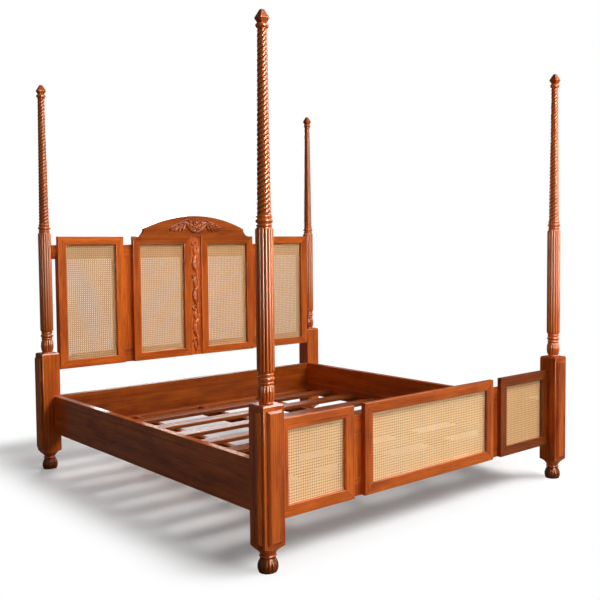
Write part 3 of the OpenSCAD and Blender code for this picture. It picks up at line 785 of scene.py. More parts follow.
class Workshop:
    """Turns arrays, trees and modifiers into plain meshes and puts the finished pieces in the scene."""

    WELD_GAP = 0.01 * MM
    FLAT_DEGREES = 0.5
    ROUNDING_SEGMENTS = 2

    @staticmethod
    @contextmanager
    def edited(mesh: bpy.types.Mesh) -> Iterator[bmesh.types.BMesh]:
        """Opens a mesh for editing and writes it back at the end.

        Args:
            mesh: The mesh.

        Yields:
            The mesh as it is edited.
        """
        shape = bmesh.new()
        shape.from_mesh(mesh)
        yield shape
        shape.to_mesh(mesh)
        shape.free()

    @classmethod
    def mesh(cls, name: str, points: Sequence[Sequence[float]],
             faces: Sequence[Sequence[int]]) -> bpy.types.Mesh:
        """Makes a mesh whose faces point outwards.

        Args:
            name: Name of the mesh.
            points: Vertices in metres.
            faces: Vertex indices of each face.

        Returns:
            The mesh.
        """
        mesh = bpy.data.meshes.new(name)
        mesh.from_pydata([tuple(p) for p in points], [], [tuple(f) for f in faces])
        with cls.edited(mesh) as shape:
            bmesh.ops.recalc_face_normals(shape, faces=shape.faces)
        return mesh

    @staticmethod
    def smooth(mesh: bpy.types.Mesh, degrees: float) -> bpy.types.Mesh:
        """Shades a mesh smoothly, apart from edges sharper than an angle."""
        mesh.shade_smooth()
        mesh.set_sharp_from_angle(angle=math.radians(degrees))
        return mesh

    @staticmethod
    def shown(name: str, data: bpy.types.ID) -> bpy.types.Object:
        """Makes an object of a mesh, a lamp or a camera and puts it in the scene."""
        made = bpy.data.objects.new(name, data)
        bpy.context.scene.collection.objects.link(made)
        return made

    @staticmethod
    def evaluated(source: bpy.types.Object) -> bpy.types.Mesh:
        """Bakes an object's modifiers into a plain mesh, and removes the object.

        Args:
            source: The object with its modifiers.

        Returns:
            The new mesh.
        """
        depsgraph = bpy.context.evaluated_depsgraph_get()
        mesh = bpy.data.meshes.new_from_object(
            source.evaluated_get(depsgraph), preserve_all_data_layers=True, depsgraph=depsgraph)
        bpy.data.objects.remove(source)
        return mesh

    @classmethod
    def grown(cls, mesh: bpy.types.Mesh, tree: bpy.types.NodeTree,
              values: dict[str, object]) -> bpy.types.Mesh:
        """Runs a geometry tree on a mesh.

        Args:
            mesh: The mesh that the tree starts from.
            tree: The tree.
            values: The tree's inputs by name.

        Returns:
            The result as a plain mesh.
        """
        source = cls.shown("source", mesh)
        modifier = source.modifiers.new(tree.name, "NODES")
        modifier.node_group = tree
        keys = {item.name: item.identifier for item in tree.interface.items_tree
                if item.item_type == "SOCKET" and item.in_out == "INPUT"}
        for name, value in values.items():
            modifier[keys[name]] = value
        return cls.evaluated(source)

    @classmethod
    def softened(cls, mesh: bpy.types.Mesh, width: float, degrees: float = 30.0,
                 curve_facet: float = 0.0) -> bpy.types.Mesh:
        """Rounds the sharp edges of a mesh and keeps its flat faces flat.

        Args:
            mesh: The mesh, of loose triangles or joined.
            width: Width of the rounding.
            degrees: Angle above which an edge counts as sharp.
            curve_facet: Outline below which a face counts as a facet of a curve.

        Returns:
            The rounded mesh.
        """
        with cls.edited(mesh) as shape:
            bmesh.ops.remove_doubles(shape, verts=shape.verts, dist=cls.WELD_GAP)
            bmesh.ops.dissolve_limit(shape, angle_limit=math.radians(cls.FLAT_DEGREES), verts=shape.verts,
                                     edges=shape.edges)
        source = cls.shown("source", mesh)
        bevel = source.modifiers.new("rounding", "BEVEL")
        bevel.width = width
        bevel.segments = cls.ROUNDING_SEGMENTS
        bevel.limit_method = "ANGLE"
        bevel.angle_limit = math.radians(degrees)
        bevel.use_clamp_overlap = True
        rounded = cls.evaluated(source)
        for face in rounded.polygons:
            corners = [rounded.vertices[i].co for i in face.vertices]
            outline = sum((b - a).length for a, b in zip(corners, corners[1:] + corners[:1]))
            face.use_smooth = 2 * face.area / outline < width or outline < curve_facet
        return rounded

    @classmethod
    def place(cls, name: str, mesh: bpy.types.Mesh, slot: str, replaced: Iterable[str] = (),
              shift: Point3 | None = None, material: bpy.types.Material | None = None) -> bpy.types.Object:
        """Puts a finished mesh in the scene.

        Args:
            name: Name of the piece.
            mesh: Its mesh.
            slot: Not used.
            replaced: Nodes that it stands for.
            shift: How far the mesh is moved to its place.
            material: Its material, where the mesh has none.

        Returns:
            The piece, which rides on the bed.
        """
        if shift is not None:
            mesh.transform(Matrix.Translation(shift))
        if material is not None:
            mesh.materials.clear()
            mesh.materials.append(material)
        mesh.name = name
        piece = cls.shown(name, mesh)
        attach(piece, ROOT)
        if replaced:
            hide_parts(*replaced)
        mesh.calc_loop_triangles()
        LOG.info("%-22s %7d triangles", name, len(mesh.loop_triangles))
        return piece


# ---- Posts ----


@dataclass(frozen=True)
class Ring:
    """One level of a turned body, with the reeds that may be cut into it."""

    z: float
    radius: float
    crown: float = 1.0
    depth: float = 0.0


@dataclass(frozen=True)
class TurnedBody:
    """A body of revolution with a mesh that follows its reeds."""

    name: str
    rings: tuple[Ring, ...]
    reeds: int
    steps: int = 12
    turns_per_metre: float = 0.0
    fullness: float = 0.5
    smooth_degrees: float = 50.0

    def cut(self, trees: GeometryTrees) -> bpy.types.Mesh:
        """Turns the body and cuts its reeds.

        Args:
            trees: The shared geometry trees.

        Returns:
            The mesh, closed at both ends and standing on the Z axis.
        """
        columns = self.reeds * self.steps
        angles = 2 * math.pi * np.arange(columns) / columns
        points: list[Point3] = [(0.0, 0.0, self.rings[0].z)]
        for ring in self.rings:
            turned = angles + 2 * math.pi * self.turns_per_metre * ring.z
            points += [(ring.radius * math.cos(a), ring.radius * math.sin(a), ring.z) for a in turned]
        points.append((0.0, 0.0, self.rings[-1].z))
        last, top = len(points) - 1, 1 + (len(self.rings) - 1) * columns
        faces: list[tuple[int, ...]] = []
        for i in range(columns):
            j = (i + 1) % columns
            faces.append((0, 1 + j, 1 + i))
            faces.append((last, top + i, top + j))
            for k in range(len(self.rings) - 1):
                low, high = 1 + k * columns, 1 + (k + 1) * columns
                faces.append((low + i, low + j, high + i))
                faces.append((low + j, high + j, high + i))
        mesh = Workshop.mesh(self.name, points, faces)
        for key in ("crown", "depth"):
            values = [getattr(ring, key) for ring in self.rings for _ in range(columns)]
            ends = [getattr(ring, key) for ring in (self.rings[0], self.rings[-1])]
            attribute = mesh.attributes.new(key, "FLOAT", "POINT")
            attribute.data.foreach_set("value", [ends[0], *values, ends[1]])
        mesh = Workshop.grown(mesh, trees.reed_cutter, {
            "Reeds": float(self.reeds), "Turns per Metre": self.turns_per_metre,
            "Fullness": self.fullness})
        return Workshop.smooth(mesh, self.smooth_degrees)


@dataclass(frozen=True)
class PostSizes:
    """Sizes of one post, in metres, from the floor up."""

    foot_h: float = 60 * MM
    foot_r: float = 42 * MM
    foot_neck_h: float = 4 * MM
    foot_lip: float = 1 * MM
    foot_reed_depth: float = 3.4 * MM
    foot_low_angle: float = 30.0
    neck_r: float = 30 * MM
    leg_top: float = 667 * MM
    plinth_h: float = 8 * MM
    plinth_r: float = 29 * MM
    vase_h: float = 66 * MM
    vase_r: float = 34.5 * MM
    vase_swell: float = 8 * MM
    vase_end_depth: float = 1 * MM
    vase_added_depth: float = 3.4 * MM
    bead_h: float = 20 * MM
    bead_r: float = 34 * MM
    outer_bead_h: float = 14 * MM
    outer_bead_r: float = 31 * MM
    groove_r: float = 27 * MM
    reeded_h: float = 565 * MM
    reeded_r: float = 35.5 * MM
    reed_depth: float = 4.9 * MM
    reed_tip: float = 14 * MM
    reed_tip_rise: float = 1 * MM
    reeds: int = 14
    twist_h: float = 708 * MM
    twist_bottom_r: float = 28 * MM
    twist_top_r: float = 19.5 * MM
    twist_depth: float = 3.7 * MM
    twist_fullness: float = 0.8
    twist_starts: int = 4
    twist_lead: float = 75 * MM
    top_bead_h: float = 20 * MM
    top_bead_r: float = 26 * MM
    finial_h: float = 53 * MM
    finial_w: float = 44 * MM
    finial_belt: float = 0.38
    finial_seat_w: float = 26 * MM
    finial_tip_w: float = 12 * MM
    finial_tip_h: float = 3 * MM
    finial_tip_flare: float = 4 * MM
    finial_rounding: float = 1.6 * MM
    finial_sharp_degrees: float = 12.0

    @property
    def collar_h(self) -> float:
        """Returns the height of a collar of three beads."""
        return self.bead_h + 2 * self.outer_bead_h

    @property
    def twist_low(self) -> float:
        """Returns the height at which the twist starts."""
        return self.leg_top + self.plinth_h + self.vase_h + self.reeded_h + 2 * self.collar_h

    @property
    def finial_low(self) -> float:
        """Returns the height of the finial's seat."""
        return self.twist_low + self.twist_h + self.top_bead_h


@dataclass
class Posts:
    """The four posts: reeded foot, leg block, reeded column, rope-twist shaft and finial.

    Bands are the levels of a part's mesh, and steps are the columns in each of its reeds. A tone is given
    for one node, or for all four parts of its kind; the tones are partly the wood's own and partly painted
    light and shade.
    """

    groups: ShaderGroups
    trees: GeometryTrees
    finish: WoodFinish = MAHOGANY
    sizes: PostSizes = PostSizes()
    corners: tuple[str, ...] = ("fl", "fr", "rl", "rr")
    edge_rounding: float = 1.2 * MM
    # Partly the wood's own tone, partly painted light and shade: the front right column and shaft are
    # painted paler for the light on them, and the feet darker partly for shade.
    tones_and_painted_light: dict[str, float] = field(default_factory=lambda: {
        "bun_foot": 0.33, "column_fl": 1.15, "shaft_fl": 1.02, "column_fr": 1.4, "shaft_fr": 1.6,
        "column_rl": 0.95, "shaft_rl": 0.9, "column_rr": 0.95, "shaft_rr": 0.8, "finial_fl": 0.9,
        "finial_rl": 0.8, "finial_rr": 0.75})
    turned_streaks: float = 0.3
    foot_coat: float = 0.4
    foot_coat_roughness: float = 0.3
    shaft_coat_roughness: float = 0.2
    first_seed: int = 40
    swell_bands: int = 24
    bead_bands: int = 12
    tip_bands: int = 10
    reeded_bands: int = 14
    twist_bands: int = 236
    twist_steps: int = 22

    def build(self) -> None:
        """Makes each turned part once and sets it up at the four corners."""
        parts = {"bun_foot": self._foot(), "column": self._column(), "shaft": self._shaft(),
                 "finial": self._finial()}
        for number, corner in enumerate(self.corners):
            low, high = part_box(f"finial_{corner}")
            axis = ((low + high) / 2).to_2d()
            for name, mesh in parts.items():
                node = f"{name}_{corner}"
                material = self._material(node, Vector((axis.x, axis.y, 0.0)), number,
                                          has_hollows=name != "finial")
                Workshop.place(f"turned_{node}", mesh.copy(), "mahogany", [node],
                               (axis.x, axis.y, 0.0), material)
            self._leg(f"leg_{corner}", number)

    def _tone(self, node: str) -> float:
        """Returns the tone of a node, or else of all parts of its kind."""
        kind = node.rsplit("_", 1)[0]
        return self.tones_and_painted_light.get(node, self.tones_and_painted_light.get(kind, 1.0))

    def _material(self, name: str, centre: Vector, number: int, has_hollows: bool) -> bpy.types.Material:
        """Makes the finish of an upright part of a post.

        Args:
            name: Name of the node.
            centre: Where the grain's frame lies.
            number: Number of the post.
            has_hollows: Whether the part is turned and reeded.

        Returns:
            The material.
        """
        toned = self.finish.toned(self._tone(name))
        if has_hollows:
            toned = replace(toned, streaks=self.turned_streaks)
        if name.startswith("bun_foot"):
            toned = replace(toned, coat=self.foot_coat, coat_roughness=self.foot_coat_roughness)
        if name.startswith("shaft"):
            toned = replace(toned, coat_roughness=self.shaft_coat_roughness)
        board = Board(tuple(centre), GrainAxis.Z, self.first_seed + number)
        return toned.material(self.groups, name, board, has_hollows)

    def _leg(self, node: str, number: int) -> None:
        """Replaces a leg block by a copy with softened edges.

        Args:
            node: Name of its node.
            number: Number of the post.
        """
        low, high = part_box(node)
        source = bpy.data.objects[node]
        mesh = Workshop.softened(source.data.copy(), self.edge_rounding)
        material = self._material(node, (low + high) / 2, number, has_hollows=False)
        Workshop.place(f"soft_{node}", mesh, "mahogany", [node], material=material)

    def _bead(self, low: float, height: float, radius: float, root: float) -> list[Ring]:
        """Lists the rings of a half-round bead.

        Args:
            low: Height of its lower edge.
            height: Its height.
            radius: Radius over its crown.
            root: Smallest radius, where it meets its neighbours.

        Returns:
            The rings from low to high.
        """
        half = height / 2
        angles = [math.pi * k / self.bead_bands for k in range(self.bead_bands + 1)]
        return [Ring(low + half - half * math.cos(a), max(root, radius - half + half * math.sin(a)))
                for a in angles]

    def _collar(self, low: float) -> list[Ring]:
        """Lists the rings of a collar of three beads.

        Args:
            low: Height of its lower edge.

        Returns:
            The rings from low to high.
        """
        s = self.sizes
        middle, upper = low + s.outer_bead_h, low + s.outer_bead_h + s.bead_h
        return [*self._bead(low, s.outer_bead_h, s.outer_bead_r, s.groove_r),
                *self._bead(middle, s.bead_h, s.bead_r, s.groove_r),
                *self._bead(upper, s.outer_bead_h, s.outer_bead_r, s.groove_r)]

    def _eased(self) -> list[float]:
        """Lists shares of a swell's height, which lie closer together at both ends."""
        return [(1 - math.cos(math.pi * k / self.swell_bands)) / 2 for k in range(self.swell_bands + 1)]

    def _foot(self) -> bpy.types.Mesh:
        """Makes the reeded bulb with its short neck.

        Returns:
            The mesh on the Z axis.
        """
        s = self.sizes
        bulb_h, end_r, neck_r = s.foot_h - s.foot_neck_h, s.neck_r + s.foot_lip, s.neck_r - s.foot_lip
        rings = []
        for t in self._eased():
            belly = math.sin(math.radians(s.foot_low_angle + (180 - s.foot_low_angle) * t))
            radius = end_r + (s.foot_r - end_r) * belly
            rings.append(Ring(bulb_h * t, radius, radius, s.foot_reed_depth * belly))
        rings += [Ring(bulb_h, neck_r), Ring(s.foot_h, neck_r)]
        return TurnedBody("foot", tuple(rings), s.reeds).cut(self.trees)

    def _column(self) -> bpy.types.Mesh:
        """Makes the column from its plinth bead to its upper collar.

        Returns:
            The mesh on the Z axis.
        """
        s = self.sizes
        rings = self._bead(s.leg_top, s.plinth_h, s.plinth_r, s.plinth_r - s.plinth_h / 2)
        vase_low, end_r = s.leg_top + s.plinth_h, s.vase_r - s.vase_swell
        for t in self._eased():
            swell = math.sqrt(math.sin(math.pi * t))
            radius = end_r + (s.vase_r - end_r) * swell
            depth = s.vase_end_depth + s.vase_added_depth * swell
            rings.append(Ring(vase_low + s.vase_h * t, radius, radius, depth))
        rings += self._collar(vase_low + s.vase_h)
        reeded_low = vase_low + s.vase_h + s.collar_h
        rings += self._reeded(reeded_low)
        rings += self._collar(reeded_low + s.reeded_h)
        return TurnedBody("column", tuple(rings), s.reeds).cut(self.trees)

    def _reeded(self, low: float) -> list[Ring]:
        """Lists the rings of the reeded part, whose reeds end in rounded tips.

        Args:
            low: Height at which the reeds start.

        Returns:
            The rings.
        """
        s = self.sizes
        quarter = math.pi / 2
        tips = [s.reed_tip * (1 - math.cos(quarter * k / self.tip_bands)) for k in range(self.tip_bands + 1)]
        straight = s.reeded_h - 2 * s.reed_tip
        middle = [s.reed_tip + straight * k / self.reeded_bands for k in range(1, self.reeded_bands)]
        rings = []
        for height in [*tips, *middle, *(s.reeded_h - tip for tip in reversed(tips))]:
            inside = s.reed_tip - min(height, s.reeded_h - height, s.reed_tip)
            limit = s.reeded_r + s.reed_tip_rise - s.reed_tip + math.sqrt(s.reed_tip ** 2 - inside ** 2)
            radius = min(s.reeded_r, max(limit, s.reeded_r - s.reed_depth))
            rings.append(Ring(low + height, radius, s.reeded_r, s.reed_depth))
        return rings

    def _shaft(self) -> bpy.types.Mesh:
        """Makes the tapered rope twist with the bead on its top.

        Returns:
            The mesh on the Z axis.
        """
        s = self.sizes
        rings = []
        for k in range(self.twist_bands + 1):
            t = k / self.twist_bands
            radius = s.twist_bottom_r + (s.twist_top_r - s.twist_bottom_r) * t
            depth = s.twist_depth * radius / s.twist_bottom_r
            rings.append(Ring(s.twist_low + s.twist_h * t, radius, radius, depth))
        rings += self._bead(s.twist_low + s.twist_h, s.top_bead_h, s.top_bead_r,
                            s.top_bead_r - s.top_bead_h / 2)
        return TurnedBody("shaft", tuple(rings), s.twist_starts, self.twist_steps, 1 / s.twist_lead,
                          s.twist_fullness).cut(self.trees)

    def _finial(self) -> bpy.types.Mesh:
        """Makes the square finial, which widens to its belt and closes to a blunt point.

        Returns:
            The mesh on the Z axis.
        """
        s = self.sizes
        levels = [(0.0, s.finial_seat_w), (s.finial_belt * s.finial_h, s.finial_w),
                  (s.finial_h - s.finial_tip_h, s.finial_tip_w + s.finial_tip_flare),
                  (s.finial_h, s.finial_tip_w)]
        points, faces = [], []
        for height, width in levels:
            half, z = width / 2, s.finial_low + height
            points += [(x * half, y * half, z) for x, y in ((-1, -1), (1, -1), (1, 1), (-1, 1))]
        for k in range(len(levels) - 1):
            faces += [(4 * k + i, 4 * k + (i + 1) % 4, 4 * k + 4 + (i + 1) % 4, 4 * k + 4 + i)
                      for i in range(4)]
        faces += [(3, 2, 1, 0), tuple(len(points) - 4 + i for i in range(4))]
        mesh = Workshop.mesh("finial", points, faces)
        return Workshop.softened(mesh, s.finial_rounding, s.finial_sharp_degrees)


# ---- Cane ----


@dataclass(frozen=True)
class CaneWeave:
    """One cell of six-way cane: a pair of strands each way and a single strand on each diagonal.

    The offset of a pair and the edge of the cell are shares of the cell's size, from its middle. The shades
    are painted shade, stored as the hollow attribute: darkest at a strand's back edges, lighter on its
    front, and set on its back face.
    """

    pitch: float = 12 * MM
    strand_w: float = 3.5 * MM
    front_share: float = 0.82
    thickness: float = 1.3 * MM
    wave: float = 0.5 * MM
    pair_offset: float = 0.174
    pair_shade: Point2 = (1.0, 0.2)
    diagonal_shade: Point2 = (1.0, 0.6)
    back_shade: float = 0.5
    edge: float = 0.5

    def cell(self, step_x: float, step_z: float) -> bpy.types.Mesh:
        """Makes the strands of one cell, centred where the pairs cross, with their fronts towards -Y.

        Args:
            step_x: Width of the cell.
            step_z: Height of the cell.

        Returns:
            The mesh.
        """
        a, e, h = self.pair_offset, self.edge, self.wave
        pairs: list[list[Point3]] = []
        diagonals: list[list[Point3]] = []
        for s in (-1, 1):
            pairs.append([(s * a, -e, 0.0), (s * a, -a, -s * h), (s * a, a, s * h), (s * a, e, 0.0)])
            pairs.append([(-e, s * a, 0.0), (-a, s * a, s * h), (a, s * a, -s * h), (e, s * a, 0.0)])
            diagonals.append([(s * e, 0.0, -h), (0.0, s * e, h)])
            diagonals.append([(s * e, 0.0, h), (0.0, -s * e, -h)])
        points: list[Point3] = []
        faces: list[tuple[int, ...]] = []
        shade: list[float] = []
        for strand in pairs + diagonals:
            # Painted shade for the side walls, the front and the back face of this strand.
            deep, front = self.pair_shade if strand in pairs else self.diagonal_shade
            sides = [(deep, front, front, deep), (front,) * 4, (front, deep, deep, front),
                     (self.back_shade,) * 4]
            path = [Vector((x * step_x, -up, z * step_z)) for x, z, up in strand]
            along = path[-1] - path[0]
            across = Vector((along.z, 0.0, -along.x)).normalized() * (self.strand_w / 2)
            forward = Vector((0.0, -self.thickness, 0.0))
            start = len(points)
            for p in path:
                points += [tuple(p - across), tuple(p - across * self.front_share + forward),
                           tuple(p + across * self.front_share + forward), tuple(p + across)]
            for k in range(len(path) - 1):
                b = start + 4 * k
                faces += [(b + i, b + (i + 1) % 4, b + 4 + (i + 1) % 4, b + 4 + i) for i in range(4)]
                shade += [value for side in sides for value in side]
        mesh = bpy.data.meshes.new("cane_cell")
        mesh.from_pydata(points, [], faces)
        mesh.attributes.new("hollow", "FLOAT", "CORNER").data.foreach_set("value", shade)
        mesh.shade_smooth()
        return mesh


@dataclass(frozen=True)
class Sheet:
    """One cane sheet: its name, the node it stands for, its span across the bed and its tint."""

    name: str
    node: str
    span: Point2 | None = None
    tint: Colour = WHITE


@dataclass
class CaneSheets:
    """Woven cane in the openings of the headboard and the footboard."""

    trees: GeometryTrees
    finish: CaneFinish = CaneFinish()
    weave: CaneWeave = CaneWeave()
    centre_gap: float = 79 * MM
    # Painted shade: the head sheets and the right foot sheet are painted darker for the weaker light on
    # them.
    head_painted_shade: Colour = (0.66, 0.575, 0.48)
    centre_painted_shade: Colour = (0.70, 0.58, 0.44)
    right_painted_shade: Colour = (0.80, 0.73, 0.63)

    def build(self) -> None:
        """Weaves every sheet."""
        low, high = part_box("head_cane_centre")
        foot_low, foot_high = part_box("foot_cane_centre")
        head, centre, right = self.head_painted_shade, self.centre_painted_shade, self.right_painted_shade
        sheets = [Sheet("woven_head_left", "head_cane_left", tint=head),
                  Sheet("woven_head_right", "head_cane_right", tint=head),
                  Sheet("woven_head_centre_left", "head_cane_centre", (low.x, -self.centre_gap), centre),
                  Sheet("woven_head_centre_right", "head_cane_centre", (self.centre_gap, high.x), centre),
                  Sheet("woven_foot_left", "foot_cane_left"),
                  Sheet("woven_foot_right", "foot_cane_right", tint=right),
                  Sheet("woven_foot_centre_left", "foot_cane_centre", (foot_low.x, 0.0)),
                  Sheet("woven_foot_centre_right", "foot_cane_centre", (0.0, foot_high.x))]
        for sheet in sheets:
            self._sheet(sheet)

    def _sheet(self, sheet: Sheet) -> None:
        """Weaves one sheet.

        Args:
            sheet: The sheet.
        """
        low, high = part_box(sheet.node)
        x0, x1 = sheet.span or (low.x, high.x)
        columns = round((x1 - x0) / self.weave.pitch)
        rows = round((high.z - low.z) / self.weave.pitch)
        step_x, step_z = (x1 - x0) / columns, (high.z - low.z) / rows
        middle_y = (low.y + high.y) / 2 + self.weave.thickness / 2
        mesh = Workshop.grown(self.weave.cell(step_x, step_z), self.trees.lattice, {
            "Columns": columns, "Rows": rows,
            "Start": (x0 + step_x / 2, middle_y, low.z + step_z / 2),
            "Column Step": (step_x, 0.0, 0.0), "Row Step": (0.0, 0.0, step_z),
            "Finish": self.finish.toned(sheet.name, sheet.tint).material()})
        Workshop.place(sheet.name, mesh, "cane", [sheet.node])


# ---- Carving ----


@dataclass(frozen=True)
class Stroke:
    """A raised carved line or leaf along a smooth curve.

    Points and widths are in millimetres. The widths are half widths at each point.

    The points and the half widths at them are in millimetres. Lobes are counted along the stroke, and the
    vein is a groove down its middle, as a share of the height.
    """

    points: tuple[Point2, ...]
    widths: tuple[float, ...]
    height: float
    lobes: float = 0.0
    vein: float = 0.0
    least_width: float = 0.3

    def samples(self, per_span: int = 14) -> tuple[np.ndarray, np.ndarray, np.ndarray]:
        """Samples the curve through the points.

        Args:
            per_span: Number of samples between two points.

        Returns:
            The places, the half widths and the shares of the length.
        """
        data = np.column_stack([np.array(self.points, float), np.array(self.widths, float)])
        padded = np.vstack([2 * data[0] - data[1], data, 2 * data[-1] - data[-2]])
        pieces = []
        for i in range(1, len(padded) - 2):
            p0, p1, p2, p3 = padded[i - 1:i + 3]
            t = np.linspace(0.0, 1.0, per_span, endpoint=False)[:, None]
            pieces.append(0.5 * (2 * p1 + (p2 - p0) * t + (2 * p0 - 5 * p1 + 4 * p2 - p3) * t ** 2
                                 + (3 * p1 - p0 - 3 * p2 + p3) * t ** 3))
        curve = np.vstack([*pieces, data[-1:]])
        steps = np.r_[0.0, np.cumsum(np.linalg.norm(np.diff(curve[:, :2], axis=0), axis=1))]
        return curve[:, :2], np.maximum(curve[:, 2], self.least_width), steps / steps[-1]

    def mirrored(self) -> Stroke:
        """Returns the stroke mirrored left to right."""
        return replace(self, points=tuple((-x, z) for x, z in self.points))

    def moved(self, dx: float, dz: float) -> Stroke:
        """Returns the stroke moved by a distance."""
        return replace(self, points=tuple((x + dx, z + dz) for x, z in self.points))


@dataclass(frozen=True)
class Dome:
    """A round carved button, in millimetres."""

    centre: Point2
    radius: float
    height: float


@dataclass(frozen=True)
class LeafShape:
    """How a stroke is modelled across and along its width.

    Places across a stroke are shares of its half width, and the powers say how full a curve is.
    """

    reach: float = 1.4
    margin: float = 2.0
    crown_power: float = 0.72
    lobe_lean: float = 0.10
    lobe_cut: float = 0.32
    lobe_power: float = 0.6
    flute_depth: float = 0.42
    flute_power: float = 0.7
    vein_width: float = 0.16
    bare: float = -1.0

    def raised(self, stroke: Stroke, offset: np.ndarray, share: np.ndarray) -> np.ndarray:
        """Works out the height of a stroke.

        Args:
            stroke: The stroke.
            offset: Places across it.
            share: Shares of its length.

        Returns:
            The height at each place, below zero outside the stroke.
        """
        edge = flute = np.ones_like(offset)
        if stroke.lobes:
            wave = np.abs(np.sin(math.pi * stroke.lobes * (share - self.lobe_lean * offset)))
            edge = 1 - self.lobe_cut + self.lobe_cut * wave ** self.lobe_power
            flute = 1 - self.flute_depth * offset * (1 - wave ** self.flute_power)
        across = offset / edge
        height = stroke.height * np.clip(1 - across ** 2, 0.0, 1.0) ** self.crown_power * flute
        if stroke.vein:
            height -= stroke.height * stroke.vein * np.exp(-(offset / self.vein_width) ** 2)
        return np.where(across < 1.0, height, self.bare)


@dataclass(frozen=True)
class Relief:
    """A carved relief that stands on a flat face and faces -Y.

    The centre is in metres, everything else in millimetres.
    """

    name: str
    centre: Point3
    half_width: float
    half_height: float
    strokes: tuple[Stroke, ...]
    domes: tuple[Dome, ...] = ()
    step: float = 1.1
    rim: float = 0.25
    root_depth: float = 1.2
    skirt: float = 0.15
    skirt_cells: int = 4
    blur_kept: float = 0.6
    stain_and_shade_reach: int = 9
    stain_depth: float = 0.6
    smooth_degrees: float = 60.0
    leaf: LeafShape = LeafShape()

    def heights(self, x: np.ndarray, z: np.ndarray) -> np.ndarray:
        """Works out how far the relief stands out.

        Args:
            x: Places across the relief in millimetres.
            z: Places up the relief in millimetres.

        Returns:
            The height at each place, below zero where nothing is carved.
        """
        result = np.full(x.shape, self.leaf.bare)
        for stroke in self.strokes:
            curve, widths, shares = stroke.samples()
            reach = widths.max() * self.leaf.reach + self.leaf.margin
            near = ((x > curve[:, 0].min() - reach) & (x < curve[:, 0].max() + reach)
                    & (z > curve[:, 1].min() - reach) & (z < curve[:, 1].max() + reach))
            here = np.column_stack([x[near], z[near]])
            if not len(here):
                continue
            gaps = np.linalg.norm(here[:, None, :] - curve[None, :, :], axis=2) / widths[None, :]
            index = gaps.argmin(axis=1)
            offset = gaps[np.arange(len(here)), index]
            result[near] = np.maximum(result[near], self.leaf.raised(stroke, offset, shares[index]))
        for dome in self.domes:
            across = np.hypot(x - dome.centre[0], z - dome.centre[1]) / dome.radius
            ball = dome.height * np.sqrt(np.clip(1 - across ** 2, 0.0, 1.0))
            result = np.maximum(result, np.where(across < 1.0, ball, self.leaf.bare))
        return result

    def build(self, finish: WoodFinish, groups: ShaderGroups, board: Board) -> None:
        """Carves the relief and puts it on its board.

        Args:
            finish: The wood's finish.
            groups: The shared shader groups.
            board: How the grain of the board runs.
        """
        columns = int(2 * self.half_width / self.step) + 1
        rows = int(2 * self.half_height / self.step) + 1
        xs = np.linspace(-self.half_width, self.half_width, columns)
        zs = np.linspace(-self.half_height, self.half_height, rows)
        x, z = np.meshgrid(xs, zs)
        height = self.heights(x, z)
        blurred = self._blurred(np.maximum(height, 0.0), 1)
        raised = blurred > self.rim
        front = np.where(raised, blurred, self.skirt)
        for _ in range(self.skirt_cells):
            wide = np.pad(raised, 1)
            raised = (raised | wide[:-2, 1:-1] | wide[2:, 1:-1] | wide[1:-1, :-2] | wide[1:-1, 2:])
        cells = raised[:-1, :-1] & raised[1:, :-1] & raised[:-1, 1:] & raised[1:, 1:]
        # Stain and painted shade: points lower than their softened neighbours, round the foot of the
        # carving, are painted darker.
        hollow = np.clip((self._blurred(front, self.stain_and_shade_reach) - front) / self.stain_depth, 0.0, 1.0)
        points = []
        for level in (front, np.full_like(front, -self.root_depth)):
            offsets = np.stack([x, -level, z], axis=-1).reshape(-1, 3) * MM
            points += (offsets + np.array(self.centre)).tolist()
        mesh = Workshop.mesh(self.name, points, self._faces(cells, rows, columns))
        attribute = mesh.attributes.new("hollow", "FLOAT", "POINT")
        attribute.data.foreach_set("value", np.r_[hollow.ravel(), np.ones(front.size)].astype(np.float32))
        self._drop_loose(mesh)
        Workshop.smooth(mesh, self.smooth_degrees)
        material = finish.material(groups, self.name, board, has_hollows=True)
        Workshop.place(self.name, mesh, "mahogany", material=material)

    def _blurred(self, height: np.ndarray, passes: int) -> np.ndarray:
        """Softens a height field over its neighbours.

        Args:
            height: The height field.
            passes: How often it is softened.

        Returns:
            The softened field.
        """
        for _ in range(passes):
            wide = np.pad(height, 1, mode="edge")
            ring = (wide[:-2, 1:-1] + wide[2:, 1:-1] + wide[1:-1, :-2] + wide[1:-1, 2:]) / 4
            height = self.blur_kept * height + (1 - self.blur_kept) * ring
        return height

    @staticmethod
    def _faces(cells: np.ndarray, rows: int, columns: int) -> list[tuple[int, ...]]:
        """Lists the faces of a closed slab over the marked cells.

        Args:
            cells: Which cells are kept.
            rows: Number of rows of points.
            columns: Number of columns of points.

        Returns:
            The front, back and side faces.
        """
        back = rows * columns
        kept = np.pad(cells, 1)
        faces: list[tuple[int, ...]] = []
        for r, c in zip(*np.nonzero(cells)):
            a, b = r * columns + c, r * columns + c + 1
            d, e = a + columns, b + columns
            faces.append((a, b, e, d))
            faces.append((a + back, d + back, e + back, b + back))
            for other, p, q in (((r, c + 1), a, b), ((r + 2, c + 1), e, d),
                                ((r + 1, c), d, a), ((r + 1, c + 2), b, e)):
                if not kept[other]:
                    faces.append((q, p, p + back, q + back))
        return faces

    @staticmethod
    def _drop_loose(mesh: bpy.types.Mesh) -> None:
        """Removes the points that no face uses."""
        with Workshop.edited(mesh) as shape:
            bmesh.ops.delete(shape, geom=[v for v in shape.verts if not v.link_faces], context="VERTS")


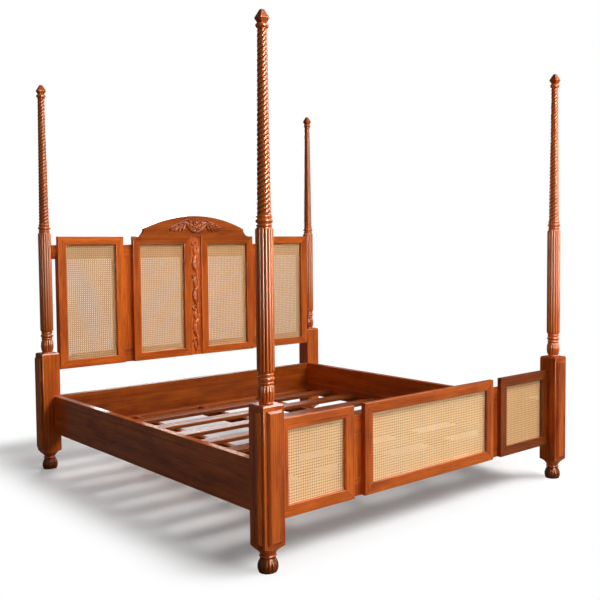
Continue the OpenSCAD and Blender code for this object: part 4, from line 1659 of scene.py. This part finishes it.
@dataclass
class Carvings:
    """The leaf and scroll carving on the crest and the vine down the strip.

    Heights and halves of the reliefs, apart from the place of the crest's, are in millimetres.
    """

    groups: ShaderGroups
    finish: WoodFinish = MAHOGANY
    crest_z: float = 1399 * MM
    crest_half: Point2 = (192.0, 46.0)
    vine_half: Point2 = (36.0, 362.0)
    vine_step: float = 1.2
    vine_unit: float = 207.0
    vine_units: int = 3
    vine_lead: float = 38.0
    vine_bud_drop: float = 100.0
    crest_tone: float = 0.7
    vine_tone: float = 1.15
    crest_coat: float = 0.5
    coat_roughness: float = 0.2
    strip_seed: int = 111

    @property
    def vine_top(self) -> float:
        """Returns where the vine starts above the middle of the strip."""
        return self.vine_unit * self.vine_units / 2 + self.vine_lead

    def build(self) -> None:
        """Carves both reliefs."""
        polished = replace(self.finish, coat_roughness=self.coat_roughness)
        low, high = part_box("crest_board")
        board = Board(tuple((low + high) / 2), GrainAxis.X, CREST_SEED)
        crest = Relief("crest_carving", (0.0, low.y, self.crest_z), *self.crest_half, self._crest_strokes(),
                       self._crest_knobs())
        crest.build(replace(polished.toned(self.crest_tone), coat=self.crest_coat), self.groups, board)
        low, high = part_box("carved_strip")
        board = Board(tuple((low + high) / 2), GrainAxis.Z, self.strip_seed)
        vine = Relief("vine_carving", (0.0, low.y, (low.z + high.z) / 2), *self.vine_half,
                      self._vine_strokes(), self._vine_knobs(), step=self.vine_step)
        vine.build(polished.toned(self.vine_tone), self.groups, board)

    @classmethod
    def _crest_strokes(cls) -> tuple[Stroke, ...]:
        """Draws the rosette, the arms that sweep round it and the acanthus leaves at their ends.

        Returns:
            The strokes, about the middle of the carving.
        """
        arms = [
            Stroke(((0, -41), (22, -35), (42, -23), (58, -6), (72, 10), (92, 19)), (6, 8, 9, 9, 9, 5), 8.4,
                   vein=0.3),
            Stroke(((42, 14), (50, 30), (67, 37), (84, 31), (98, 21)), (4, 6, 6.5, 6, 4), 7.4, vein=0.25),
            Stroke(((36, -6), (46, 4), (46, 17), (36, 22)), (3, 5, 5, 3), 6.6),
        ]
        lobes = [
            Stroke(((78, 6), (88, -14), (97, -31)), (6, 9.5, 4), 8.0, vein=0.3),
            Stroke(((100, 5), (113, -17), (124, -36)), (7, 10, 4), 8.4, vein=0.3),
            Stroke(((124, -3), (141, -21), (154, -35)), (7, 10, 4), 8.0, vein=0.3),
            Stroke(((146, -9), (162, -22), (175, -31)), (6, 8, 4), 7.2, vein=0.3),
            Stroke(((90, 14), (106, 21), (122, 14)), (6, 8, 4), 7.4, vein=0.3),
            Stroke(((112, 8), (131, 12), (148, 4)), (6, 8.5, 4), 7.8, vein=0.3),
            Stroke(((138, -1), (157, 1), (173, -6)), (6, 8, 4), 7.4, vein=0.3),
            Stroke(((158, -12), (175, -9), (186, -17), (182, -28), (172, -25)), (5, 6, 5, 4.5, 4), 7.8),
        ]
        ground = [Stroke(((0, -16), (30, -12), (60, 6), (86, 8), (112, -6), (140, -12), (168, -20)),
                         (20, 19, 16, 19, 20, 17, 9), 3.4)]
        half = ground + arms + lobes
        return tuple([*cls._rosette(), *half, *(stroke.mirrored() for stroke in half)])

    @staticmethod
    def _rosette() -> list[Stroke]:
        """Draws the petals round the middle button and the small palmette above them.

        Returns:
            The strokes, about the middle of the carving.
        """
        middle_z, petals, inner, wide, tall = -12.0, 8, 8.0, 27.0, 21.0
        strokes = []
        for k in range(petals):
            a = 2 * math.pi * (k + 0.5) / petals
            x, z = math.cos(a), math.sin(a)
            strokes.append(Stroke(((inner * x, middle_z + inner * z), (wide * x, middle_z + tall * z)),
                                  (4.5, 7.5), 7.0, vein=0.3))
        return strokes + [
            Stroke(((0, 10), (0, 24), (0, 36)), (4, 8, 4), 7.2, vein=0.3),
            Stroke(((7, 10), (18, 22), (24, 31)), (4, 7, 3), 6.6, vein=0.3),
            Stroke(((-7, 10), (-18, 22), (-24, 31)), (4, 7, 3), 6.6, vein=0.3),
        ]

    @staticmethod
    def _crest_knobs() -> tuple[Dome, ...]:
        """Places the round buds among the leaves of the crest."""
        half = ((97, -20, 6.0, 10.5), (118, 5, 6.5, 11.0), (146, -3, 6.5, 11.0), (174, -13, 5.5, 10.0))
        both = [Dome((sign * x, z), radius, height) for x, z, radius, height in half for sign in (-1, 1)]
        return tuple([Dome((0.0, -12.0), 8.5, 9.5), *both])

    def _vine_strokes(self) -> tuple[Stroke, ...]:
        """Draws the units of the vine: a hooked tendril, a leaf on the right and a leaf that bulges left.

        Returns:
            The strokes, about the middle of the strip.
        """
        hook = Stroke(((6, -30), (5, -9), (-8, 0), (-21, -6), (-24, -18), (-15, -23), (-11, -15)),
                      (7, 6.5, 6.5, 6, 5.5, 5, 4.5), 9.0, vein=0.2)
        unit = [
            hook,
            Stroke(((0, -14), (1, -60), (0, -100), (-2, -150), (4, -206)), (7, 13, 9, 14, 4), 4.6),
            Stroke(((2, -14), (11, -30), (15, -55), (12, -80), (3, -102)), (7, 11, 13, 11, 5), 10.4, 3, 0.2),
            Stroke(((-6, -30), (-13, -48), (-11, -68), (-3, -88)), (5, 9.5, 9, 4), 8.4, 2, 0.2),
            Stroke(((2, -82), (-9, -106), (-13, -134), (-9, -164), (0, -190), (7, -207)),
                   (7, 14, 18, 15.5, 9, 4), 11.4, 4, 0.2),
            Stroke(((5, -98), (14, -122), (16, -148), (13, -178), (8, -206)), (5, 9, 10, 8, 4), 9.0, 4, 0.2),
        ]
        tail = [
            hook,
            Stroke(((4, -11), (12, -26), (12, -48), (6, -68), (0, -80)), (5, 9, 10, 8, 4), 9.4, 2, 0.2),
            Stroke(((-6, -28), (-11, -42), (-9, -60), (-2, -78)), (5, 9, 8, 4), 8.4, 2, 0.2),
        ]
        whole = [stroke.moved(0.0, self.vine_top - self.vine_unit * k)
                 for k in range(self.vine_units) for stroke in unit]
        end = self.vine_top - self.vine_unit * self.vine_units
        return tuple(whole + [stroke.moved(0.0, end) for stroke in tail])

    def _vine_knobs(self) -> tuple[Dome, ...]:
        """Places the bud where the leaves of each unit of the vine meet."""
        return tuple(Dome((0.0, self.vine_top - self.vine_bud_drop - self.vine_unit * k), 6.0, 11.0)
                     for k in range(self.vine_units))


# ---- Screws ----


@dataclass(frozen=True)
class ScrewHead:
    """A countersunk head with a cross recess, its face a hair above the wood."""

    radius: float = 4.2 * MM
    proud: float = 0.15 * MM
    sunk: float = 1.6 * MM
    slot_w: float = 1.1 * MM
    slot_l: float = 2.6 * MM
    slot_d: float = 0.9 * MM
    sides: int = 16
    root_share: float = 0.55

    def mesh(self, turn: Matrix) -> bpy.types.Mesh:
        """Makes the head, which faces +Z before it is turned.

        Args:
            turn: How it is turned.

        Returns:
            The mesh, of a few dozen faces.
        """
        w, end = self.slot_w / 2, self.slot_l
        cross = [(end, -w), (end, w), (w, w), (w, end), (-w, end), (-w, w), (-end, w), (-end, -w), (-w, -w),
                 (-w, -end), (w, -end), (w, -w)]
        angles = [2 * math.pi * k / self.sides for k in range(self.sides)]
        rim = [(self.radius * math.cos(a), self.radius * math.sin(a)) for a in angles]
        shape = bmesh.new()
        outer = [shape.verts.new((x, y, self.proud)) for x, y in rim]
        inner = [shape.verts.new((x, y, self.proud)) for x, y in cross]
        floor = [shape.verts.new((x, y, self.proud - self.slot_d)) for x, y in cross]
        root = [shape.verts.new((x * self.root_share, y * self.root_share, -self.sunk)) for x, y in rim]
        edges = [shape.edges.new((loop[i], loop[(i + 1) % len(loop)])) for loop in (outer, inner)
                 for i in range(len(loop))]
        bmesh.ops.triangle_fill(shape, use_beauty=True, edges=edges)
        for upper, lower in ((inner, floor), (outer, root)):
            for i in range(len(upper)):
                j = (i + 1) % len(upper)
                shape.faces.new((upper[i], upper[j], lower[j], lower[i]))
        shape.faces.new(floor)
        shape.faces.new(root)
        bmesh.ops.recalc_face_normals(shape, faces=shape.faces)
        shape.transform(turn)
        mesh = bpy.data.meshes.new("screw_head")
        shape.to_mesh(mesh)
        shape.free()
        return mesh


@dataclass(frozen=True)
class ScrewRows:
    """Rows of screws in one face."""

    name: str
    turn: Matrix
    axis: Point3
    start: Point3
    column_step: Point3
    row_step: Point3
    columns: int
    rows: int


@dataclass
class Screws:
    """Screws that hold the slats to the base and the ledgers to the side rails."""

    trees: GeometryTrees
    finish: ZincSteel = ZincSteel()
    head: ScrewHead = ScrewHead()
    slat_count: int = 8
    slat_w: float = 90 * MM
    slat_pair_half: float = 22 * MM
    bearer_x: float = 450 * MM
    ledger_screws: int = 7
    ledger_drop: float = 6 * MM
    end_inset: float = 120 * MM
    seed: int = 11
    smooth_degrees: float = 30.0

    def build(self) -> None:
        """Drives every row of screws."""
        material = self.finish.material()
        for rows in self._rows():
            mesh = Workshop.grown(self.head.mesh(rows.turn), self.trees.lattice, {
                "Columns": rows.columns, "Rows": rows.rows, "Start": rows.start,
                "Column Step": rows.column_step, "Row Step": rows.row_step, "Turn Axis": rows.axis,
                "Seed": self.seed, "Finish": material})
            Workshop.place(rows.name, Workshop.smooth(mesh, self.smooth_degrees), "steel")

    def _rows(self) -> list[ScrewRows]:
        """Works out the rows from the boards that they hold.

        Returns:
            The rows.
        """
        slats_low, slats_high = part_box("slats")
        ledger_low, ledger_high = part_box("ledger_left")
        ledger_x = (ledger_low.x + ledger_high.x) / 2
        pitch = (slats_high.y - slats_low.y - self.slat_w) / (self.slat_count - 1)
        first_y = slats_low.y + self.slat_w / 2
        rows = []
        for name, x0, step, columns in (("slat_end_screws", ledger_x, -2 * ledger_x, 2),
                                        ("slat_bearer_screws", -self.bearer_x, self.bearer_x, 3)):
            for part, shift in (("near", -self.slat_pair_half), ("far", self.slat_pair_half)):
                rows.append(ScrewRows(
                    f"{name}_{part}", Matrix.Identity(4), (0.0, 0.0, 1.0),
                    (x0, first_y + shift, slats_high.z), (step, 0.0, 0.0), (0.0, pitch, 0.0), columns,
                    self.slat_count))
        length = ledger_high.y - ledger_low.y - 2 * self.end_inset
        middle_z = (ledger_low.z + ledger_high.z) / 2 - self.ledger_drop
        for name, sign in (("left", -1), ("right", 1)):
            inner_x = -sign * ledger_high.x
            turn = Matrix.Rotation(-sign * math.pi / 2, 4, "Y")
            rows.append(ScrewRows(
                f"ledger_screws_{name}", turn, (1.0, 0.0, 0.0),
                (inner_x, ledger_low.y + self.end_inset, middle_z),
                (0.0, length / (self.ledger_screws - 1), 0.0), (0.0, 0.0, 0.0), self.ledger_screws, 1))
        return rows


# ---- Boards that keep their outlines ----


@dataclass
class Boards:
    """Finishes of the boards, rails, frames and fittings that keep their packed outlines."""

    groups: ShaderGroups
    varnished: WoodFinish = MAHOGANY
    satin: WoodFinish = BASE_WOOD
    steel: ZincSteel = ZincSteel()
    along_x: tuple[str, ...] = ("head_top_rail", "head_bottom_rail", "foot_top_rail", "foot_bottom_rail",
                                "head_rail")
    upright: tuple[str, ...] = ("head_stile_left", "head_stile_right", "head_mullion_left",
                                "head_mullion_right", "head_muntin", "carved_strip", "foot_mullion_left",
                                "foot_mullion_right")
    along_y: tuple[str, ...] = ("side_rail_left", "side_rail_right")
    mitred: tuple[str, ...] = ("head_frame_left", "head_frame_right", "half_frame_left", "half_frame_right",
                               "foot_frame_left", "foot_frame_centre", "foot_frame_right")
    open_topped: tuple[str, ...] = ("half_frame_left", "half_frame_right")
    missing_top: Point3 = (0.0, 0.0, 0.5)
    base_x: tuple[str, ...] = ("slats", "head_cleat", "foot_cleat")
    base_y: tuple[str, ...] = ("ledger_left", "ledger_right", "bearer_left", "bearer_centre", "bearer_right")
    base_z: tuple[str, ...] = ("centre_leg",)
    fittings: tuple[str, ...] = ("rail_hooks", "post_plates")
    crest: str = "crest_board"
    crest_rounding: float = 1.6 * MM
    curve_facet: float = 150 * MM
    first_seed: int = 101
    # Partly the boards' own tones, partly painted light and shade: the head rail is painted darker for the
    # footboard's shadow and the right foot frame for the weaker light on it.
    tones_and_painted_light: dict[str, float] = field(default_factory=lambda: {
        "foot_frame_right": 0.4, "head_rail": 0.54, "foot_frame_left": 1.06, "crest_board": 0.69,
        "head_mullion_left": 1.1, "carved_strip": 1.15, "head_frame_left": 1.25, "half_frame_left": 1.1,
        "half_frame_right": 1.06, "head_mullion_right": 1.05, "side_rail_left": 0.95,
        "side_rail_right": 0.85, "foot_mullion_right": 0.9, "slats": 0.56, "bearer_left": 0.75,
        "bearer_centre": 0.75, "bearer_right": 0.75, "ledger_left": 0.75, "ledger_right": 0.75,
        "head_cleat": 0.75, "foot_cleat": 0.75})

    def dress(self) -> None:
        """Gives every board its finish."""
        plans = ((self.varnished, self.along_x, GrainAxis.X), (self.varnished, self.upright, GrainAxis.Z),
                 (self.varnished, self.along_y, GrainAxis.Y), (self.satin, self.base_x, GrainAxis.X),
                 (self.satin, self.base_y, GrainAxis.Y), (self.satin, self.base_z, GrainAxis.Z))
        seeds = count(self.first_seed)
        for finish, nodes, axis in plans:
            for node in nodes:
                low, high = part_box(node)
                self._finish(finish, node, Board(tuple((low + high) / 2), axis, next(seeds)))
        for node in self.mitred:
            low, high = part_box(node)
            if node in self.open_topped:
                high = high + Vector(self.missing_top)
            frame = MitredFrame(tuple((low + high) / 2), tuple((high - low) / 2), next(seeds))
            self._finish(self.varnished, node, frame)
        steel = self.steel.material()
        for node in self.fittings:
            self._give(node, steel)
        self._crest()

    def _finish(self, finish: WoodFinish, node: str, place: Board | MitredFrame) -> None:
        """Gives a node a finish in its tone, which is partly its own and partly painted light and shade."""
        toned = finish.toned(self.tones_and_painted_light.get(node, 1.0))
        self._give(node, toned.material(self.groups, node, place))

    def _crest(self) -> None:
        """Replaces the crest board by a copy with softened edges."""
        low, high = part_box(self.crest)
        mesh = Workshop.softened(bpy.data.objects[self.crest].data.copy(), self.crest_rounding,
                                 curve_facet=self.curve_facet)
        board = Board(tuple((low + high) / 2), GrainAxis.X, CREST_SEED)
        material = self.varnished.toned(self.tones_and_painted_light[self.crest]).material(self.groups, self.crest, board)
        Workshop.place("soft_crest_board", mesh, "mahogany", [self.crest], material=material)

    @staticmethod
    def _give(node: str, material: bpy.types.Material) -> None:
        """Assigns a material to all of a node's slots."""
        for slot in bpy.data.objects[node].material_slots:
            slot.material = material
        LOG.info("%-22s %s", node, material.name)


# ---- Studio ----


@dataclass(frozen=True)
class SoftBox:
    """A rectangular lamp that faces a point."""

    name: str
    place: Point3
    target: Point3
    width: float
    height: float
    power: float
    colour: Colour = WHITE

    def hang(self) -> None:
        """Hangs the lamp."""
        data = bpy.data.lights.new(self.name, "AREA")
        data.shape = "RECTANGLE"
        data.size, data.size_y = self.width, self.height
        data.energy = self.power
        data.color = self.colour
        lamp = Workshop.shown(self.name, data)
        lamp.location = self.place
        lamp.rotation_euler = (Vector(self.target) - Vector(self.place)).to_track_quat("-Z", "Y").to_euler()


@dataclass(frozen=True)
class GlossCard:
    """A bright upright card that shows only as a reflection in the varnish."""

    left: float = -1.7
    right: float = 0.9
    low: float = 0.1
    high: float = 8.0
    y: float = -5.6
    strength: float = 38.0
    soft_edge: float = 0.5
    colour: Colour = (1.0, 0.84, 0.64)

    def set_up(self) -> None:
        """Stands the card in front of the bed."""
        corners = [(self.left, self.y, self.low), (self.right, self.y, self.low),
                   (self.right, self.y, self.high), (self.left, self.y, self.high)]
        mesh = Workshop.mesh("gloss_card", corners, [(0, 1, 2, 3)])
        material, graph = Graph.material("gloss_card")
        place = graph.parts(graph.place())
        across = graph.math("MULTIPLY",
                            graph.ramp(place["X"], self.left, self.left + self.soft_edge),
                            graph.ramp(place["X"], self.right, self.right - self.soft_edge))
        upwards = graph.math("MULTIPLY", graph.ramp(place["Z"], self.low, self.low + 2 * self.soft_edge),
                             graph.ramp(place["Z"], self.high, self.high - self.soft_edge))
        share = graph.math("MULTIPLY", across, upwards)
        glossy = graph.add("ShaderNodeLightPath").outputs["Is Glossy Ray"]
        clear = graph.add("ShaderNodeBsdfTransparent")
        bright = graph.add("ShaderNodeEmission", {
            "Color": rgba(self.colour), "Strength": graph.math("MULTIPLY", share, self.strength)})
        both = graph.add("ShaderNodeMixShader", {0: glossy, 1: clear, 2: bright})
        graph.add("ShaderNodeOutputMaterial", {"Surface": both})
        mesh.materials.append(material)
        card = Workshop.shown("gloss_card", mesh)


@dataclass(frozen=True)
class StudioCamera:
    """Camera at the photograph's viewing angle, for a square picture."""

    place: Point3 = (-2.9043, -3.7290, 1.3021)
    yaw: float = 42.832
    pitch: float = 3.07
    roll: float = -0.28
    lens: float = 50.88
    shift: Point2 = (-0.1100, -0.0240)
    sensor_width: float = 36.0

    def set_up(self) -> None:
        """Makes the camera and gives it to the scene."""
        yaw, pitch, roll = (math.radians(v) for v in (self.yaw, self.pitch, self.roll))
        ahead = math.cos(pitch)
        forward = Vector((math.sin(yaw) * ahead, math.cos(yaw) * ahead, -math.sin(pitch)))
        level = forward.cross(Vector((0.0, 0.0, 1.0))).normalized()
        upright = level.cross(forward)
        right = level * math.cos(roll) + upright * math.sin(roll)
        up = upright * math.cos(roll) - level * math.sin(roll)
        data = bpy.data.cameras.new("camera")
        data.lens = self.lens
        data.sensor_fit = "HORIZONTAL"
        data.sensor_width = self.sensor_width
        data.shift_x, data.shift_y = self.shift
        camera = Workshop.shown("camera", data)
        axes = Matrix((right, up, -forward)).transposed().to_4x4()
        camera.matrix_world = Matrix.Translation(self.place) @ axes
        bpy.context.scene.camera = camera


@dataclass(frozen=True)
class Studio:
    """Pale floor, white background, soft lamps and the camera.

    The floor has a painted shadow under the bed, seen only by the camera, and fades to white outside the
    shadow's rectangle.
    """

    camera: StudioCamera = StudioCamera()
    floor_half: float = 16.0
    floor_colour: Colour = (0.88, 0.88, 0.88)
    floor_roughness: float = 0.85
    floor_specular: float = 0.1
    painted_shadow_under_bed: Colour = (0.60, 0.60, 0.60)
    under_bed_centre: Point3 = (0.25, 0.25, 0.0)
    under_bed_half: Point3 = (0.55, 0.75, 1.0)
    under_bed_fade: float = 0.35
    floor_glow: Point2 = (0.08, 1.0)
    shadow_centre: Point3 = (0.035, 0.4, 0.0)
    shadow_half: Point3 = (0.965, 1.2, 1.0)
    floor_bounce: Colour = (0.26, 0.26, 0.26)
    floor_mirrored: Colour = (0.10, 0.10, 0.10)
    fade: Point2 = (0.0, 0.42)
    lamps: tuple[SoftBox, ...] = (
        SoftBox("key", (4.4, -4.9, 6.6), (0.0, 0.0, 0.8), 4.6, 4.0, 860.0),
        SoftBox("window", (0.4, -5.4, 2.0), (-0.3, 0.0, 1.4), 0.8, 2.8, 75.0),
        SoftBox("back", (2.6, 5.4, 2.8), (0.0, 1.0, 0.8), 2.4, 2.4, 200.0),
    )
    card: GlossCard = GlossCard()
    ambient: float = 0.13
    reflected_left: float = 0.50
    reflected_front: float = 0.07
    reflected_right: float = 3.2
    reflected_left_range: Point2 = (-0.7, -0.3)
    reflected_right_range: Point2 = (0.84, 0.97)
    reflected_colour: Colour = (1.0, 0.84, 0.68)

    def set_up(self) -> None:
        """Makes the floor, the background, the lamps and the camera."""
        self._floor()
        self._world()
        for lamp in self.lamps:
            lamp.hang()
        self.card.set_up()
        self.camera.set_up()
        bpy.context.scene.view_settings.view_transform = "Standard"

    @staticmethod
    def _outside(graph: Graph, place: bpy.types.NodeSocket, centre: Point3,
                 half: Point3) -> bpy.types.NodeSocket:
        """Adds the distance at which the floor lies outside a rectangle.

        Args:
            graph: The floor's graph.
            place: The place on the floor.
            centre: Middle of the rectangle.
            half: Half of its size.

        Returns:
            The distance, which is zero inside.
        """
        local = graph.vector("ABSOLUTE", graph.vector("SUBTRACT", place, centre))
        return graph.length(graph.vector("MAXIMUM", graph.vector("SUBTRACT", local, half), (0.0, 0.0, 0.0)))

    def _floor(self) -> None:
        """Lays the floor, which the camera sees fade to white away from the bed and darker under it, as a
        painted shadow.
        """
        h = self.floor_half
        mesh = Workshop.mesh("floor", [(-h, -h, 0), (h, -h, 0), (h, h, 0), (-h, h, 0)], [(0, 1, 2, 3)])
        material, graph = Graph.material("studio_floor")
        place = graph.place()
        reach = self._outside(graph, place, self.shadow_centre, self.shadow_half)
        under = self._outside(graph, place, self.under_bed_centre, self.under_bed_half)
        path = graph.add("ShaderNodeLightPath").outputs
        seen = path["Is Camera Ray"]
        share = graph.math("MULTIPLY", graph.ramp(reach, *self.fade, self.floor_glow), seen)
        unseen = graph.mix(path["Is Glossy Ray"], rgba(self.floor_bounce), rgba(self.floor_mirrored))
        # Painted shadow: the floor is drawn darker under the bed for the camera.
        inner = graph.ramp(under, 0.0, self.under_bed_fade, (1.0, 0.0))
        pale = graph.mix(inner, rgba(self.floor_colour), rgba(self.painted_shadow_under_bed))
        shader = graph.add("ShaderNodeBsdfPrincipled", {
            "Base Color": graph.mix(seen, unseen, pale), "Roughness": self.floor_roughness,
            "Specular IOR Level": self.floor_specular})
        white = graph.add("ShaderNodeEmission", {"Color": rgba(WHITE), "Strength": 1.0})
        mixed = graph.add("ShaderNodeMixShader", {0: share, 1: shader, 2: white})
        graph.add("ShaderNodeOutputMaterial", {"Surface": mixed})
        mesh.materials.append(material)
        floor = Workshop.shown("floor", mesh)

    def _world(self) -> None:
        """Makes the white background, which lights the bed only a little."""
        world = bpy.data.worlds.new("studio")
        world.use_nodes = True
        world.node_tree.nodes.clear()
        graph = Graph(world.node_tree)
        path = graph.add("ShaderNodeLightPath").outputs
        across = graph.parts(graph.add("ShaderNodeTexCoord").outputs["Generated"])["X"]
        left = graph.ramp(across, *self.reflected_left_range, (self.reflected_left, self.reflected_front))
        right = graph.ramp(across, *self.reflected_right_range, (0.0, self.reflected_right))
        seen = graph.math("MAXIMUM", path["Is Camera Ray"], path["Is Transmission Ray"])
        glossy = graph.math("MULTIPLY", path["Is Glossy Ray"], graph.math("ADD", left, right))
        other = graph.math("MULTIPLY", graph.math("SUBTRACT", 1.0, path["Is Glossy Ray"]), self.ambient)
        strength = graph.math("MAXIMUM", graph.math("MAXIMUM", seen, glossy), other)
        colour = graph.mix(path["Is Glossy Ray"], rgba(WHITE), rgba(self.reflected_colour))
        shader = graph.add("ShaderNodeBackground", {"Color": colour, "Strength": strength})
        graph.add("ShaderNodeOutputWorld", {"Surface": shader})
        bpy.context.scene.world = world


# ---- Main ----


def main() -> None:
    """Builds the studio and every part of the bed."""
    logging.basicConfig(level=logging.INFO, format="%(message)s")
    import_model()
    Studio().set_up()
    groups, trees = ShaderGroups(), GeometryTrees()
    builders: Sequence[Callable[[], None]] = (
        Boards(groups).dress,
        Posts(groups, trees).build,
        CaneSheets(trees).build,
        Carvings(groups).build,
        Screws(trees).build,
    )
    for build in builders:
        build()


if __name__ == "__main__":
    main()
